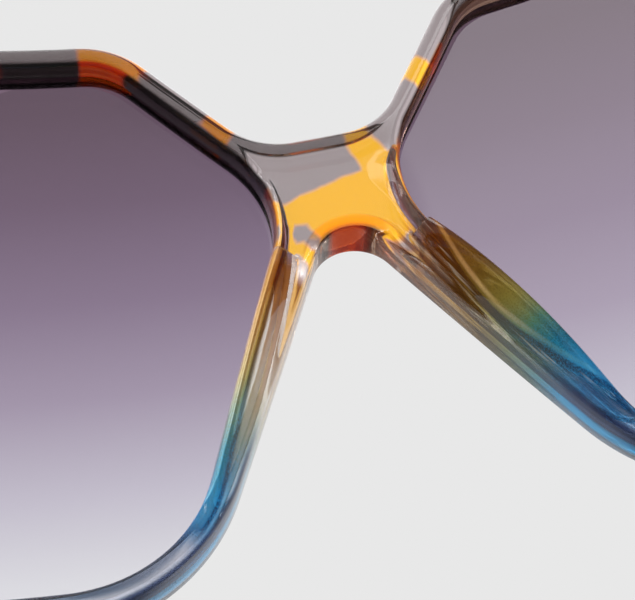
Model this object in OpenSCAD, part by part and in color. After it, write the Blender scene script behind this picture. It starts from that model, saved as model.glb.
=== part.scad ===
// Oversized hexagonal sunglasses in a tortoise pattern that fades to clear blue.
// The front faces -Y, the wearer is on the +Y side, +Z is up, and +X is the wearer's left.
// Every length is in millimetres. Z = 0 is the table under the lower rims and the temple tips,
// and the origin is the middle of the open sunglasses on that table.

/* [Node] */
// which piece to draw

/* [Front] */
// radius of the front's back face, about an upright axis behind the bridge
wrap_r = 130; // [90:1:220]
// thickness of the front, measured through the curved sheet
front_t = 5.2; // [4:0.1:7]
// width of the rim round each lens opening
rim_w = 2.4; // [1.8:0.1:5]
// half width of the bridge at the point where the two nose edges of an opening would meet
nose_x = 4.6; // [3:0.1:10]
// height of that nose point above the opening's bottom edge
nose_z = 37.5; // [25:0.1:45]
// height of the lens opening at its upper inner corner
opening_h = 55.3; // [40:0.1:62]
// middle to the upper inner corner of the opening
top_in_x = 18.2; // [12:0.1:26]
// middle to the upper outer corner of the opening
top_out_x = 57.5; // [45:0.1:62]
// rise of the upper outer corner above the upper inner one
top_out_rise = 1.4; // [0:0.1:6]
// middle to the outermost corner of the opening
side_x = 68; // [55:0.1:74]
// height of the outermost corner above the opening's bottom edge
side_z = 42; // [30:0.1:50]
// middle to the lower outer corner of the opening
low_out_x = 52; // [42:0.1:62]
// middle to the lower inner corner of the opening
low_in_x = 23.1; // [16:0.1:30]
// corner radius at the nose
nose_r = 12; // [4:0.1:16]
// corner radius at the top, nose side
top_in_r = 5.5; // [3:0.1:12]
// corner radius at the top, temple side
top_out_r = 9; // [3:0.1:14]
// corner radius at the outermost corner
side_r = 9; // [3:0.1:14]
// corner radius at the bottom, temple side
low_out_r = 14; // [5:0.1:18]
// corner radius at the bottom, nose side
low_in_r = 16; // [5:0.1:20]

/* [Bridge] */
// top edge of the bridge above the opening's bottom edge
bridge_top_z = 43.4; // [38:0.1:52]
// fillet where the top of the bridge runs into a rim
bridge_top_r = 7; // [3:0.1:12]
// point where the inner lines of the two legs would meet, above the opening's bottom edge
arch_apex_z = 36.8; // [30:0.1:42]
// radius of the arch over the nose
arch_r = 4.2; // [3:0.1:8]
// middle to the point where the inner line of a leg would meet the table
leg_foot_x = 22.4; // [16:0.1:30]
// corner radius there
leg_foot_r = 22; // [10:0.1:26]

/* [Lens] */
// plastic behind the lens groove
back_lip = 2.2; // [1:0.1:3]
// lens thickness
lens_t = 1.8; // [1.4:0.1:2.6]
// depth of the groove that holds the lens
groove_d = 0.9; // [0.5:0.05:1.2]
// gap between the lens and its groove, all round
lens_gap = 0.07; // [0.02:0.01:0.15]

/* [Nose pad] */
// start of the pad, along the leg from the nose point
pad_start = 7.2; // [4:0.1:12]
// length of the pad along the leg
pad_l = 29.5; // [20:0.1:34]
// distance from the start of the pad to the point where it begins to narrow
pad_taper = 16; // [6:0.1:24]
// distance from the start of the pad to its highest point
pad_peak = 13.5; // [4:0.1:18]
// height of the ridge above the middle of the bridge's back face
pad_h = 4.4; // [3:0.1:9]
// radius of the ridge's long curve
pad_ridge_r = 36; // [30:1:90]
// step in from the edge of the opening to the pad
pad_inset = 0.35; // [0.2:0.05:1]
// width of the rounded ridge
pad_ridge_w = 0.9; // [0.5:0.05:1.5]
// width of the pad at its foot
pad_w = 2.6; // [2:0.1:5]

/* [End piece] */
// width of the end piece across the head, the same as the thickness at the temple's front
end_t = 4.4; // [4:0.1:6]
// height of the end piece, the same as the height of the temple's front
end_h = 11; // [8:0.1:14]
// middle to the outer face of the end piece and of the temple
end_x = 71.9; // [60:0.1:78]
// corner radius of the end piece, seen from the front
end_r = 1.6; // [0.5:0.1:3]
// fillet between the end piece and the rim
end_fillet = 2.5; // [1:0.1:5]

/* [Temple] */
// gap between the end piece and the open temple
butt_gap = 0.3; // [0.2:0.05:0.6]
// length of the straight part, along Y
straight_l = 88; // [70:1:110]
// drop over the straight part
straight_drop = 12; // [0:0.5:20]
// length of the bend over the ear, along Y
bend_l = 20; // [12:0.5:30]
// drop over the bend
bend_drop = 8.5; // [4:0.5:16]
// length of the tail behind the ear, along Y
tail_l = 24; // [16:0.5:36]
// height of the temple at the start of the bend
waist_h = 7; // [5:0.1:10]
// height of the temple near its tip
tip_h = 9; // [6:0.1:12]

/* [Hinge] */
// outer radius of a knuckle
knuckle_r = 1.3; // [1:0.05:2]
// thickness of a hinge plate
plate_t = 1; // [0.6:0.05:1.4]
// height of the hinge
hinge_h = 8.4; // [6:0.1:10]
// gap between neighbouring knuckles
knuckle_gap = 0.12; // [0.05:0.01:0.3]
// gap from a knuckle to the other leaf and to the temple
swing_gap = 0.3; // [0.2:0.05:0.5]
// radius of the screw's shank
screw_r = 0.7; // [0.5:0.05:1]
// gap round the screw in the knuckles
screw_gap = 0.05; // [0.02:0.01:0.09]
// radius of the screw's head
screw_head_r = 1.15; // [0.9:0.05:1.5]
// height of the screw's head
screw_head_h = 0.6; // [0.4:0.05:1]
// width of the slot in the screw's head
slot_w = 0.35; // [0.25:0.05:0.5]
// depth of that slot
slot_d = 0.3; // [0.2:0.05:0.4]
// length of the temple's hinge plate
temple_plate_l = 9.9; // [8:0.1:14]
// length of the end piece's hinge plate
front_plate_l = 7; // [5:0.1:9]
// gap between the front's back face and that plate
plate_step = 1.1; // [0.4:0.05:3]

/* [Rivets] */
// radius of a rivet's shank
rivet_r = 0.7; // [0.5:0.05:1]
// gap round a rivet
rivet_gap = 0.03; // [0.02:0.01:0.1]
// radius of both rivet heads
rivet_head_r = 1.1; // [0.9:0.05:1.5]
// height of the rivet head on the hinge plate
rivet_head_h = 0.5; // [0.3:0.05:0.8]
// depth of the flush rivet head in the plastic
rivet_sink = 0.8; // [0.5:0.05:1.2]
// half spacing of the end piece's rivets, up and down
front_rivet_z = 2.3; // [1.5:0.1:3]
// half spacing of the temple's rivets, up and down
temple_rivet_z = 2.6; // [2:0.1:3.4]
// half spacing of the temple's rivets, along the temple
temple_rivet_y = 2.3; // [1.5:0.1:4]

/* [Core] */
// thickness of the flat wire inside a temple
core_t = 1; // [0.8:0.05:1.4]
// height of that wire
core_h = 1.8; // [1.2:0.05:2.4]
// start of the wire behind the temple's front face
core_start = 0.8; // [0.3:0.1:3]
// length of the wire that stops short of the tip
core_short = 9; // [5:0.5:20]
// gap round the wire
core_gap = 0.04; // [0.02:0.01:0.1]

/* [Hidden] */
// sides of a full corner circle in the flat outlines
corner_sides = 48;
// sides of round pins and bores
round_sides = 48;
// overrun of every cut past the face it leaves by
over = 1;
// points along the bend of the temple
bend_steps = 10;
// colours of the pieces
tortoise = [0.45, 0.25, 0.1];
smoke = [0.45, 0.38, 0.47, 0.6];
blue = [0.25, 0.5, 0.75];
steel = [0.75, 0.75, 0.77];
brass = [0.8, 0.68, 0.42];
// the opening's bottom edge lies one rim width above the table
low_z = rim_w;
// corners of the wearer's left opening as [x, z]
nose_p = [nose_x, low_z + nose_z];
top_in_p = [top_in_x, low_z + opening_h];
top_out_p = [top_out_x, low_z + opening_h + top_out_rise];
side_p = [side_x, low_z + side_z];
low_out_p = [low_out_x, low_z];
low_in_p = [low_in_x, low_z];
opening_ps = [nose_p, top_in_p, top_out_p, side_p, low_out_p, low_in_p];
opening_rs = [nose_r, top_in_r, top_out_r, side_r, low_out_r, low_in_r];
// lean of the leg from upright
leg_angle = atan2(low_in_x - nose_x, nose_z);
// corners of the rim's outer line, and the outline's corners that lie on it
rim_ps = grown(opening_ps, opening_rs, rim_w);
valley_p = on_line(rim_ps[0], rim_ps[1], low_z + bridge_top_z);
end_top_p = on_line(rim_ps[2], rim_ps[3], low_z + side_z + end_h / 2);
end_low_p = on_line(rim_ps[3], rim_ps[4], low_z + side_z - end_h / 2);
half_ps = [valley_p, rim_ps[1], rim_ps[2], end_top_p, [end_x, end_top_p[1]],
  [end_x, end_low_p[1]], end_low_p, rim_ps[4], [leg_foot_x, 0]];
half_rs = [bridge_top_r, top_in_r + rim_w, top_out_r + rim_w, end_fillet, end_r, end_r, end_fillet,
  low_out_r + rim_w, leg_foot_r];
outline_ps = concat(half_ps, [[0, low_z + arch_apex_z]], flipped(half_ps));
outline_rs = concat(half_rs, [arch_r], backward(half_rs));
// inner face, middle and height of the end piece and of the temple's front
inner_x = end_x - end_t;
end_mid_x = end_x - end_t / 2;
end_z = low_z + side_z;
// the end piece is as long as its hinge plate needs
end_y = wrap_r - sqrt(wrap_r * wrap_r - inner_x * inner_x) + plate_step + front_plate_l;
// how far the extrusions along Y go past the front's two sides
sheet_y = end_y + over;
// the end piece starts half way through the front
end_root_y = wrap_r - sqrt(pow(wrap_r + front_t / 2, 2) - pow(end_mid_x, 2));
// hinge axis
hinge_x = end_x - end_t - knuckle_r - swing_gap;
butt_y = end_y + butt_gap;
hinge_y = butt_y + knuckle_r + swing_gap / 2;
hinge_low = end_z - hinge_h / 2;
knuckles = 5;
knuckle_pitch = (hinge_h + knuckle_gap) / knuckles;
knuckle_h = knuckle_pitch - knuckle_gap;
// the temple's centre line as [y, z], with the height at each point
bend_a = [butt_y + straight_l, end_z - straight_drop];
straight_slope = straight_drop / straight_l;
bend_mid = [bend_a[0] + bend_l / 2, bend_a[1] - bend_l / 2 * straight_slope];
bend_b = [bend_a[0] + bend_l, bend_a[1] - bend_drop];
tip_r = tip_h / 2;
tip_p = [bend_b[0] + tail_l, tip_r];
line_ps = concat([[butt_y, end_z]],
  [for (i = [0 : bend_steps]) bezier(i / bend_steps)], [tip_p]);
line_hs = concat([end_h], [for (i = [0 : bend_steps]) waist_h], [tip_h]);
last = len(line_ps) - 1;

function bezier(t) = bend_a * (1 - t) * (1 - t) + bend_mid * 2 * t * (1 - t) + bend_b * t * t;
function unit(v) = v / norm(v);
function turned(v) = [-v[1], v[0]];
function grown(ps, rs, g) = [for (i = [0 : len(ps) - 1])
  corner(ps[(i + len(ps) - 1) % len(ps)], ps[i], ps[(i + 1) % len(ps)], -g)];
function on_line(a, b, z) = a + (b - a) * (z - a[1]) / (b[1] - a[1]);
function backward(v) = [for (i = [len(v) - 1 : -1 : 0]) v[i]];
function flipped(ps) = [for (p = backward(ps)) [-p[0], p[1]]];
function heading(ps, i) = unit(ps[min(i + 1, len(ps) - 1)] - ps[max(i - 1, 0)]);
// points of the arc of radius r that rounds the corner at q between p and s
function rounding(p, q, s, r) = r == 0 ? [q] : arc(corner(p, q, s, r), r,
  q + unit(p - q) * touch(p, q, s, r), q + unit(s - q) * touch(p, q, s, r));
function touch(p, q, s, r) = sqrt(pow(norm(corner(p, q, s, r) - q), 2) - r * r);
function angle_of(v) = atan2(v[1], v[0]);
function short_way(a) = a > 180 ? a - 360 : a < -180 ? a + 360 : a;
function arc(c, r, a, b) = arc_points(c, r, angle_of(a - c), short_way(angle_of(b - c) - angle_of(a - c)));
function arc_points(c, r, from, turn) = [for (k = [0 : ceil(abs(turn) * corner_sides / 360)])
  c + r * along(from + turn * k / ceil(abs(turn) * corner_sides / 360))];
function along(a) = [cos(a), sin(a)];
// centre of a circle of radius r that touches both sides of the corner at q
function corner(p, q, s, r) =
  q + unit(unit(p - q) + unit(s - q)) * r / sqrt((1 - unit(p - q) * unit(s - q)) / 2);

// closed outline through the corners ps, each rounded by its own radius in rs
module rounded_2d(ps, rs) {
  n = len(ps);
  polygon([for (i = [0 : n - 1])
      each rounding(ps[(i + n - 1) % n], ps[i], ps[(i + 1) % n], rs[i])]);
}

// outline of the wearer's left opening, grown by g
module opening_2d(g) {
  rounded_2d(grown(opening_ps, opening_rs, g), [for (r = opening_rs) r + g]);
}

module box_2d(a, b, r) {
  rounded_2d([a, [b[0], a[1]], b, [a[0], b[1]]], [r, r, r, r]);
}

module mirrored() {
  children();
  mirror([1, 0, 0]) children();
}

// stand a flat drawing up, from y0 to y1
module upright(y0, y1) {
  translate([0, y1, 0])
    rotate([90, 0, 0])
      linear_extrude(height = y1 - y0)
        children();
}

// curved sheet from depth a to depth b in front of the back face
module sheet(a, b) {
  translate([0, wrap_r, -over])
    difference() {
      cylinder(r = wrap_r + b, h = opening_h + top_out_rise + 2 * rim_w + 2 * over, $fn = 4 * round_sides);
      translate([0, 0, -over])
        cylinder(r = wrap_r + a, h = opening_h + top_out_rise + 2 * rim_w + 4 * over, $fn = 4 * round_sides);
    }
}

// nose pad moulded on the leg, drawn in the leg's own frame
module pad() {
  translate([nose_p[0], 0, nose_p[1]])
    rotate([0, -leg_angle, 0])
      intersection() {
        translate([0, 0, -pad_start - pad_l - over])
          linear_extrude(height = pad_l + 2 * over)
            polygon([[-pad_inset, -over], [-pad_inset, pad_h + over],
                [-pad_inset - pad_ridge_w, pad_h + over], [-pad_inset - pad_w, 0],
                [-pad_inset - pad_w, -over]]);
        upright(-2 * over, pad_h + 2 * over)
          polygon([[over, -pad_start], [over, -pad_start - pad_l],
              [-pad_inset - pad_ridge_w, -pad_start - pad_l],
              [-pad_inset - pad_w - over, -pad_start - pad_taper], [-pad_inset - pad_w - over, -pad_start]]);
        translate([over, pad_h - pad_ridge_r, -pad_start - pad_peak])
          rotate([0, -90, 0])
            cylinder(r = pad_ridge_r, h = pad_w + pad_inset + 3 * over, $fn = 4 * round_sides);
      }
}

// place children at every rivet of the end piece, with +X along the rivet
module at_front_rivets() {
  for (s = [-1, 1])
    translate([inner_x, end_y - front_plate_l / 2, end_z + s * front_rivet_z])
      children();
}

module at_temple_rivets() {
  for (s = [-1, 1])
    translate([inner_x, hinge_y + knuckle_r + swing_gap + temple_plate_l / 2 + s * temple_rivet_y,
        end_z + s * temple_rivet_z])
      children();
}

// a rivet, or its hole when g is above 0, from the hinge plate to the outer face
module rivet(g) {
  translate([-plate_t - (g > 0 ? over : 0), 0, 0])
    rotate([0, 90, 0])
      cylinder(r = rivet_r + g, h = plate_t + end_t + (g > 0 ? 2 * over : 0), $fn = round_sides);
  translate([end_t - rivet_sink - g, 0, 0])
    rotate([0, 90, 0])
      cylinder(r = rivet_head_r + g, h = rivet_sink + (g > 0 ? over : 0), $fn = round_sides);
  if (g == 0)
    translate([-plate_t - rivet_head_h, 0, 0])
      rotate([0, 90, 0])
        cylinder(r1 = rivet_head_r * 0.7, r2 = rivet_head_r, h = rivet_head_h, $fn = round_sides);
}

module front_frame() {
  color(tortoise)
    placed()
      difference() {
        union() {
          difference() {
            intersection() {
              upright(-front_t - over, sheet_y)
                rounded_2d(outline_ps, outline_rs);
              sheet(0, front_t);
            }
            mirrored()
              upright(-front_t - 2 * over, sheet_y + over)
                opening_2d(0);
            mirrored()
              intersection() {
                upright(-front_t - 2 * over, sheet_y + over)
                  opening_2d(groove_d);
                sheet(back_lip, back_lip + lens_t + 2 * lens_gap);
              }
          }
          mirrored() {
            pad();
            upright(end_root_y, end_y)
              box_2d([inner_x, end_low_p[1]], [end_x, end_top_p[1]], end_r);
          }
        }
        mirrored()
          at_front_rivets()
            rivet(rivet_gap);
      }
}

module lens() {
  color(smoke)
    placed()
      intersection() {
        upright(-front_t - over, sheet_y)
          opening_2d(groove_d - lens_gap);
        sheet(back_lip + lens_gap, back_lip + lens_gap + lens_t);
      }
}

module lens_left() lens();
module lens_right() mirror([1, 0, 0]) lens();

// one knuckle with its root, i counted from below; s is -1 toward the front and 1 toward the tip
module knuckle(i, s, plate_x) {
  translate([hinge_x, hinge_y, hinge_low + i * knuckle_pitch])
    cylinder(r = knuckle_r, h = knuckle_h, $fn = round_sides);
  translate([plate_x, s > 0 ? hinge_y : hinge_y - knuckle_r - 2 * swing_gap,
      hinge_low + i * knuckle_pitch])
    cube([plate_t, knuckle_r + 2 * swing_gap, knuckle_h]);
}

module pin_bore() {
  translate([hinge_x, hinge_y, hinge_low - over])
    cylinder(r = screw_r + screw_gap, h = hinge_h + 2 * over, $fn = round_sides);
}

module front_hinge_leaf() {
  color(steel)
    placed()
      difference() {
        union() {
          translate([inner_x - plate_t, end_y - front_plate_l, hinge_low])
            cube([plate_t, hinge_y - knuckle_r - swing_gap - end_y + front_plate_l, hinge_h]);
          for (i = [0 : 2 : knuckles - 1])
            knuckle(i, -1, inner_x - plate_t);
        }
        pin_bore();
        at_front_rivets()
          rivet(rivet_gap);
      }
}

module temple_hinge_leaf() {
  color(steel)
    placed()
      difference() {
        union() {
          translate([inner_x - plate_t, hinge_y + knuckle_r + swing_gap, hinge_low])
            cube([plate_t, temple_plate_l, hinge_h]);
          for (i = [1 : 2 : knuckles - 2])
            knuckle(i, 1, inner_x - plate_t);
        }
        pin_bore();
        at_temple_rivets()
          rivet(rivet_gap);
      }
}

module front_hinge_leaf_left() front_hinge_leaf();
module front_hinge_leaf_right() mirror([1, 0, 0]) front_hinge_leaf();
module temple_hinge_leaf_left() temple_hinge_leaf();
module temple_hinge_leaf_right() mirror([1, 0, 0]) temple_hinge_leaf();

module hinge_screw() {
  color(brass)
    placed()
      translate([hinge_x, hinge_y, hinge_low])
        difference() {
          union() {
            cylinder(r = screw_r, h = hinge_h + screw_gap + screw_head_h / 2, $fn = round_sides);
            translate([0, 0, hinge_h + screw_gap])
              cylinder(r = screw_head_r, h = screw_head_h, $fn = round_sides);
          }
          translate([-screw_head_r - over, -slot_w / 2, hinge_h + screw_gap + screw_head_h - slot_d])
            cube([2 * screw_head_r + 2 * over, slot_w, slot_d + over]);
        }
}

module hinge_screw_left() hinge_screw();
module hinge_screw_right() mirror([1, 0, 0]) hinge_screw();

module front_rivets() {
  color(brass)
    placed()
      at_front_rivets()
        rivet(0);
}

module temple_rivets() {
  color(brass)
    placed()
      at_temple_rivets()
        rivet(0);
}

module front_rivets_left() front_rivets();
module front_rivets_right() mirror([1, 0, 0]) front_rivets();
module temple_rivets_left() temple_rivets();
module temple_rivets_right() mirror([1, 0, 0]) temple_rivets();

// stand a drawing in the YZ plane up and give it thickness t about the temple's middle
module sideways(t) {
  translate([end_mid_x - t / 2, 0, 0])
    rotate([90, 0, 90])
      linear_extrude(height = t)
        children();
}

// move a piece from the bridge's own frame, in which it is drawn, to the middle of the sunglasses
module placed() {
  translate([0, (front_t - tip_p[0] - tip_r) / 2, 0])
    children();
}

// points beside the centre line ps, half the heights hs above it, or below it when side is -1
function beside(ps, hs, side) = [for (i = [0 : len(ps) - 1])
  ps[i] + turned(heading(ps, i)) * side * hs[i] / 2];

// the temple's side view: an upright butt face, the arm, and a round tip
module temple_2d() {
  arm_ps = [for (i = [1 : last]) line_ps[i]];
  arm_hs = [for (i = [1 : last]) line_hs[i]];
  polygon(concat([[butt_y, end_z - end_h / 2], [butt_y, end_z + end_h / 2]], beside(arm_ps, arm_hs, 1),
      arc_points(tip_p, tip_r, angle_of(turned(heading(line_ps, last))), -180),
      backward(beside(arm_ps, arm_hs, -1))));
}

core_ps = concat([[butt_y + core_start, end_z - core_start * straight_slope]],
  [for (i = [1 : last - 1]) line_ps[i]], [tip_p - heading(line_ps, last) * core_short]);

module core(g) {
  sideways(core_t + 2 * g)
    polygon(concat(beside(core_ps, [for (p = core_ps) core_h + 2 * g], 1),
        backward(beside(core_ps, [for (p = core_ps) core_h + 2 * g], -1))));
}

module temple() {
  color(blue)
    placed()
      difference() {
        sideways(end_t)
          temple_2d();
        core(core_gap);
        translate([end_mid_x - core_t / 2 - core_gap, butt_y - over, end_z - core_h / 2 - core_gap])
          cube([core_t + 2 * core_gap, core_start + 2 * over, core_h + 2 * core_gap]);
        at_temple_rivets()
          rivet(rivet_gap);
      }
}

module temple_left() temple();
module temple_right() mirror([1, 0, 0]) temple();
module temple_core_left() color(steel) placed() core(0);
module temple_core_right() color(steel) mirror([1, 0, 0]) placed() core(0);

front_frame();
lens_left();
lens_right();
front_hinge_leaf_left();
front_hinge_leaf_right();
hinge_screw_left();
hinge_screw_right();
front_rivets_left();
front_rivets_right();
temple_left();
temple_right();
temple_hinge_leaf_left();
temple_hinge_leaf_right();
temple_rivets_left();
temple_rivets_right();
temple_core_left();
temple_core_right();
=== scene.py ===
"""Oversized hexagonal sunglasses, tortoise fading to clear blue, dressed for a studio picture."""

import logging
import math
from dataclasses import dataclass
from enum import Enum
from typing import Callable, Optional, Sequence, Union

import bmesh
import bpy
import numpy as np
from mathutils import Matrix, Vector
from mathutils.geometry import delaunay_2d_cdt
from mathutils.kdtree import KDTree

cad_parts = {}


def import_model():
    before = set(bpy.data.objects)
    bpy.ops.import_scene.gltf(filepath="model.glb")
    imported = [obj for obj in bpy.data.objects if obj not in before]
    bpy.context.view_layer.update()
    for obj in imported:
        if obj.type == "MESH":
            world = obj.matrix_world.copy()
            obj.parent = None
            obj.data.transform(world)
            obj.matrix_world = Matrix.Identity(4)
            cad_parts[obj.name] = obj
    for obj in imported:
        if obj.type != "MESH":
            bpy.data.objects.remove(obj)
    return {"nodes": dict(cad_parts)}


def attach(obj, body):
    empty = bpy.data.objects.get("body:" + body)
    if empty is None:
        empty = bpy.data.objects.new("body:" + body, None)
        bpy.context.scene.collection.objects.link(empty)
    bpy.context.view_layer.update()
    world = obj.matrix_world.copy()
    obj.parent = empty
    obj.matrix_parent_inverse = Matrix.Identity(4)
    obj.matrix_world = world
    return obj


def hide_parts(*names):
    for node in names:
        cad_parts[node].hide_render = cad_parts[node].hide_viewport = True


LOG = logging.getLogger("sunglasses")
MM = 0.001
TINY = 1e-9
MIRROR = np.array([-1.0, 1.0])
SMOOTH_BELOW = 38.0

# Sizes in millimetres that several pieces share: the sheet's bend and the place of its back face, and the
# end pieces' inner face and middle height.
WRAP_R = 130.0
SHIFT_Y = -79.3
INNER_X = 67.5
END_Z = 44.4

Colour = tuple[float, float, float]
Span = tuple[float, float]


class Side(Enum):
    """The wearer's left or right, with the sign of X on that side."""

    LEFT = 1
    RIGHT = -1

    @property
    def tag(self) -> str:
        """The side's name as the nodes spell it."""
        return self.name.lower()


# Shader building.


class Num:
    """A number in a node tree, with the usual operators as Math nodes."""

    def __init__(self, shader: "Shader", socket: bpy.types.NodeSocket) -> None:
        """Wraps one output socket of a tree."""
        self.shader = shader
        self.socket = socket

    def _math(self, operation: str, *values: Union["Num", float]) -> "Num":
        """Adds one Math node.

        Args:
            operation: the Math node's operation.
            values: its inputs in order.

        Returns:
            The node's result.
        """
        inputs = {i: v for i, v in enumerate(values)}
        return self.shader.node("ShaderNodeMath", {"operation": operation}, inputs)

    def __add__(self, other: Union["Num", float]) -> "Num":
        """self + other."""
        return self._math("ADD", self, other)

    def __radd__(self, other: float) -> "Num":
        """other + self."""
        return self._math("ADD", other, self)

    def __sub__(self, other: Union["Num", float]) -> "Num":
        """self - other."""
        return self._math("SUBTRACT", self, other)

    def __rsub__(self, other: float) -> "Num":
        """other - self."""
        return self._math("SUBTRACT", other, self)

    def __mul__(self, other: Union["Num", float]) -> "Num":
        """self * other."""
        return self._math("MULTIPLY", self, other)

    def __rmul__(self, other: float) -> "Num":
        """other * self."""
        return self._math("MULTIPLY", other, self)

    def __truediv__(self, other: Union["Num", float]) -> "Num":
        """self / other."""
        return self._math("DIVIDE", self, other)

    def __abs__(self) -> "Num":
        """The value without its sign."""
        return self._math("ABSOLUTE", self)

    def lower(self, other: Union["Num", float]) -> "Num":
        """The smaller of the two."""
        return self._math("MINIMUM", self, other)

    def higher(self, other: Union["Num", float]) -> "Num":
        """The larger of the two."""
        return self._math("MAXIMUM", self, other)

    def ease(self, start: Union["Num", float], end: Union["Num", float]) -> "Num":
        """Eases the value over a span.

        Args:
            start: where the result is 0.
            end: where it is 1, which may lie below start.

        Returns:
            A smooth step from 0 to 1.
        """
        return self.shader.node(
            "ShaderNodeMapRange",
            {"interpolation_type": "SMOOTHSTEP"},
            {"Value": self, "From Min": start, "From Max": end, "To Min": 0.0, "To Max": 1.0},
        )


Input = Union[Num, float, Sequence[float]]

# Places of a Mix node's factor, colours and result among its sockets.
MIX_FACTOR, MIX_FIRST, MIX_SECOND, MIX_RESULT = 0, 6, 7, 2


def between(share: Union[Num, float], first: float, second: float) -> Union[Num, float]:
    """Goes from first at share 0 to second at share 1."""
    return first + share * (second - first)


def eased(value: Num, share: Union[Num, float], first: Span, second: Span) -> Num:
    """Eases a value over the first span at share 0 and over the second at share 1."""
    return value.ease(between(share, first[0], second[0]), between(share, first[1], second[1]))


class Shader:
    """Builds one node tree of a material or of the world."""

    def __init__(self, tree: bpy.types.NodeTree) -> None:
        """Empties the tree and keeps it."""
        self.tree = tree
        tree.nodes.clear()

    def node(
        self,
        kind: str,
        settings: Optional[dict] = None,
        inputs: Optional[dict] = None,
        out: Union[int, str] = 0,
    ) -> Num:
        """Adds a node.

        Args:
            kind: the node's type.
            settings: its properties, and "stops" for a ramp, set before its sockets.
            inputs: values or links by socket name or number.
            out: the output that is handed back.

        Returns:
            The chosen output, which holds nothing when the node has none.
        """
        made = self.tree.nodes.new(kind)
        for name, value in (settings or {}).items():
            if name == "stops":
                self._stops(made, value)
            else:
                setattr(made, name, value)
        for name, value in (inputs or {}).items():
            socket = made.inputs[name]
            if isinstance(value, Num):
                self.tree.links.new(value.socket, socket)
            elif socket.type == "RGBA":
                socket.default_value = (*value, 1.0)
            else:
                socket.default_value = value
        return Num(self, made.outputs[out] if made.outputs else None)

    def _stops(self, ramp: bpy.types.Node, stops: Sequence[tuple[float, Colour]]) -> None:
        """Gives a ramp its stops.

        Args:
            ramp: the Color Ramp node.
            stops: places from 0 to 1 with their colours.
        """
        elements = ramp.color_ramp.elements
        while len(elements) < len(stops):
            elements.new(1.0)
        for element, (place, colour) in zip(elements, stops):
            element.position = place
            element.color = (*colour, 1.0)

    def mix(self, share: Input, first: Input, second: Input) -> Num:
        """Colour that goes from first at share 0 to second at share 1."""
        inputs = {MIX_FACTOR: share, MIX_FIRST: first, MIX_SECOND: second}
        return self.node("ShaderNodeMix", {"data_type": "RGBA"}, inputs, MIX_RESULT)

    def blend(self, share: Input, first: Num, second: Num) -> Num:
        """Mix Shader of two shaders."""
        return self.node("ShaderNodeMixShader", {}, {0: share, 1: first, 2: second})

    def place(self) -> tuple[Num, Num, Num, Num]:
        """Reads the object's own coordinates.

        Returns:
            The vector, then X, Y and Z, in millimetres.
        """
        vector = self.node("ShaderNodeTexCoord", out="Object")
        scaled = self.node("ShaderNodeVectorMath", {"operation": "SCALE"}, {0: vector, "Scale": 1 / MM})
        return (scaled, *self.parts(scaled))

    def ray(self, kind: str) -> Num:
        """1 for the rays of a kind, such as Camera."""
        return self.node("ShaderNodeLightPath", out=f"Is {kind} Ray")

    def parts(self, vector: Num) -> list[Num]:
        """The X, Y and Z of a vector."""
        split = self.node("ShaderNodeSeparateXYZ", {}, {0: vector}).socket.node
        return [Num(self, socket) for socket in split.outputs]

    def noise(self, vector: Num, size: float, detail: float = 2.0, roughness: float = 0.5) -> Num:
        """Noise from 0 to 1 with features of that size in millimetres."""
        inputs = {"Vector": vector, "Scale": 1 / size, "Detail": detail, "Roughness": roughness}
        return self.node("ShaderNodeTexNoise", {}, inputs)

    def ramp(self, stops: Sequence[tuple[float, Colour]], value: Num) -> Num:
        """Colours a value.

        Args:
            stops: values with their colours, from low to high.
            value: the value.

        Returns:
            The colour that the stops give there.
        """
        low, high = stops[0][0], stops[-1][0]
        placed = [((at - low) / (high - low), colour) for at, colour in stops]
        inputs = {"Fac": (value - low) / (high - low)}
        return self.node("ShaderNodeValToRGB", {"stops": placed}, inputs, out="Color")

    def finish(self, surface: Num, kind: str = "ShaderNodeOutputMaterial") -> None:
        """Joins the surface to the output."""
        self.node(kind, {}, {"Surface": surface})


def new_material(name: str) -> tuple[bpy.types.Material, Shader]:
    """Makes a fresh material.

    Args:
        name: the material's name.

    Returns:
        The material and the builder of its tree.
    """
    material = bpy.data.materials.new(name)
    material.use_nodes = True
    return material, Shader(material.node_tree)


# Finishes.


@dataclass(frozen=True)
class Patch:
    """A patch of the tortoise sheet: a convex shape with its corners in millimetres, turning left."""

    corners: tuple[tuple[float, float], ...]
    amber: bool = True


Ramp = tuple[tuple[float, Colour], ...]


@dataclass(frozen=True)
class Spot:
    """Where a point of the sheet lies: places in millimetres, and masks from 0 to 1."""

    vector: Num
    x: Num
    z: Num
    depth: Num
    height: Num
    gap: Num
    leaf: Num
    wall: Num
    line: Num
    brim: Num
    lip: Num
    arch: Num
    top: Num
    near: Num
    right: Union[Num, float]
    rim: Union[Num, float]
    foot: Union[Num, float]
    bare: Union[Num, float]


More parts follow.
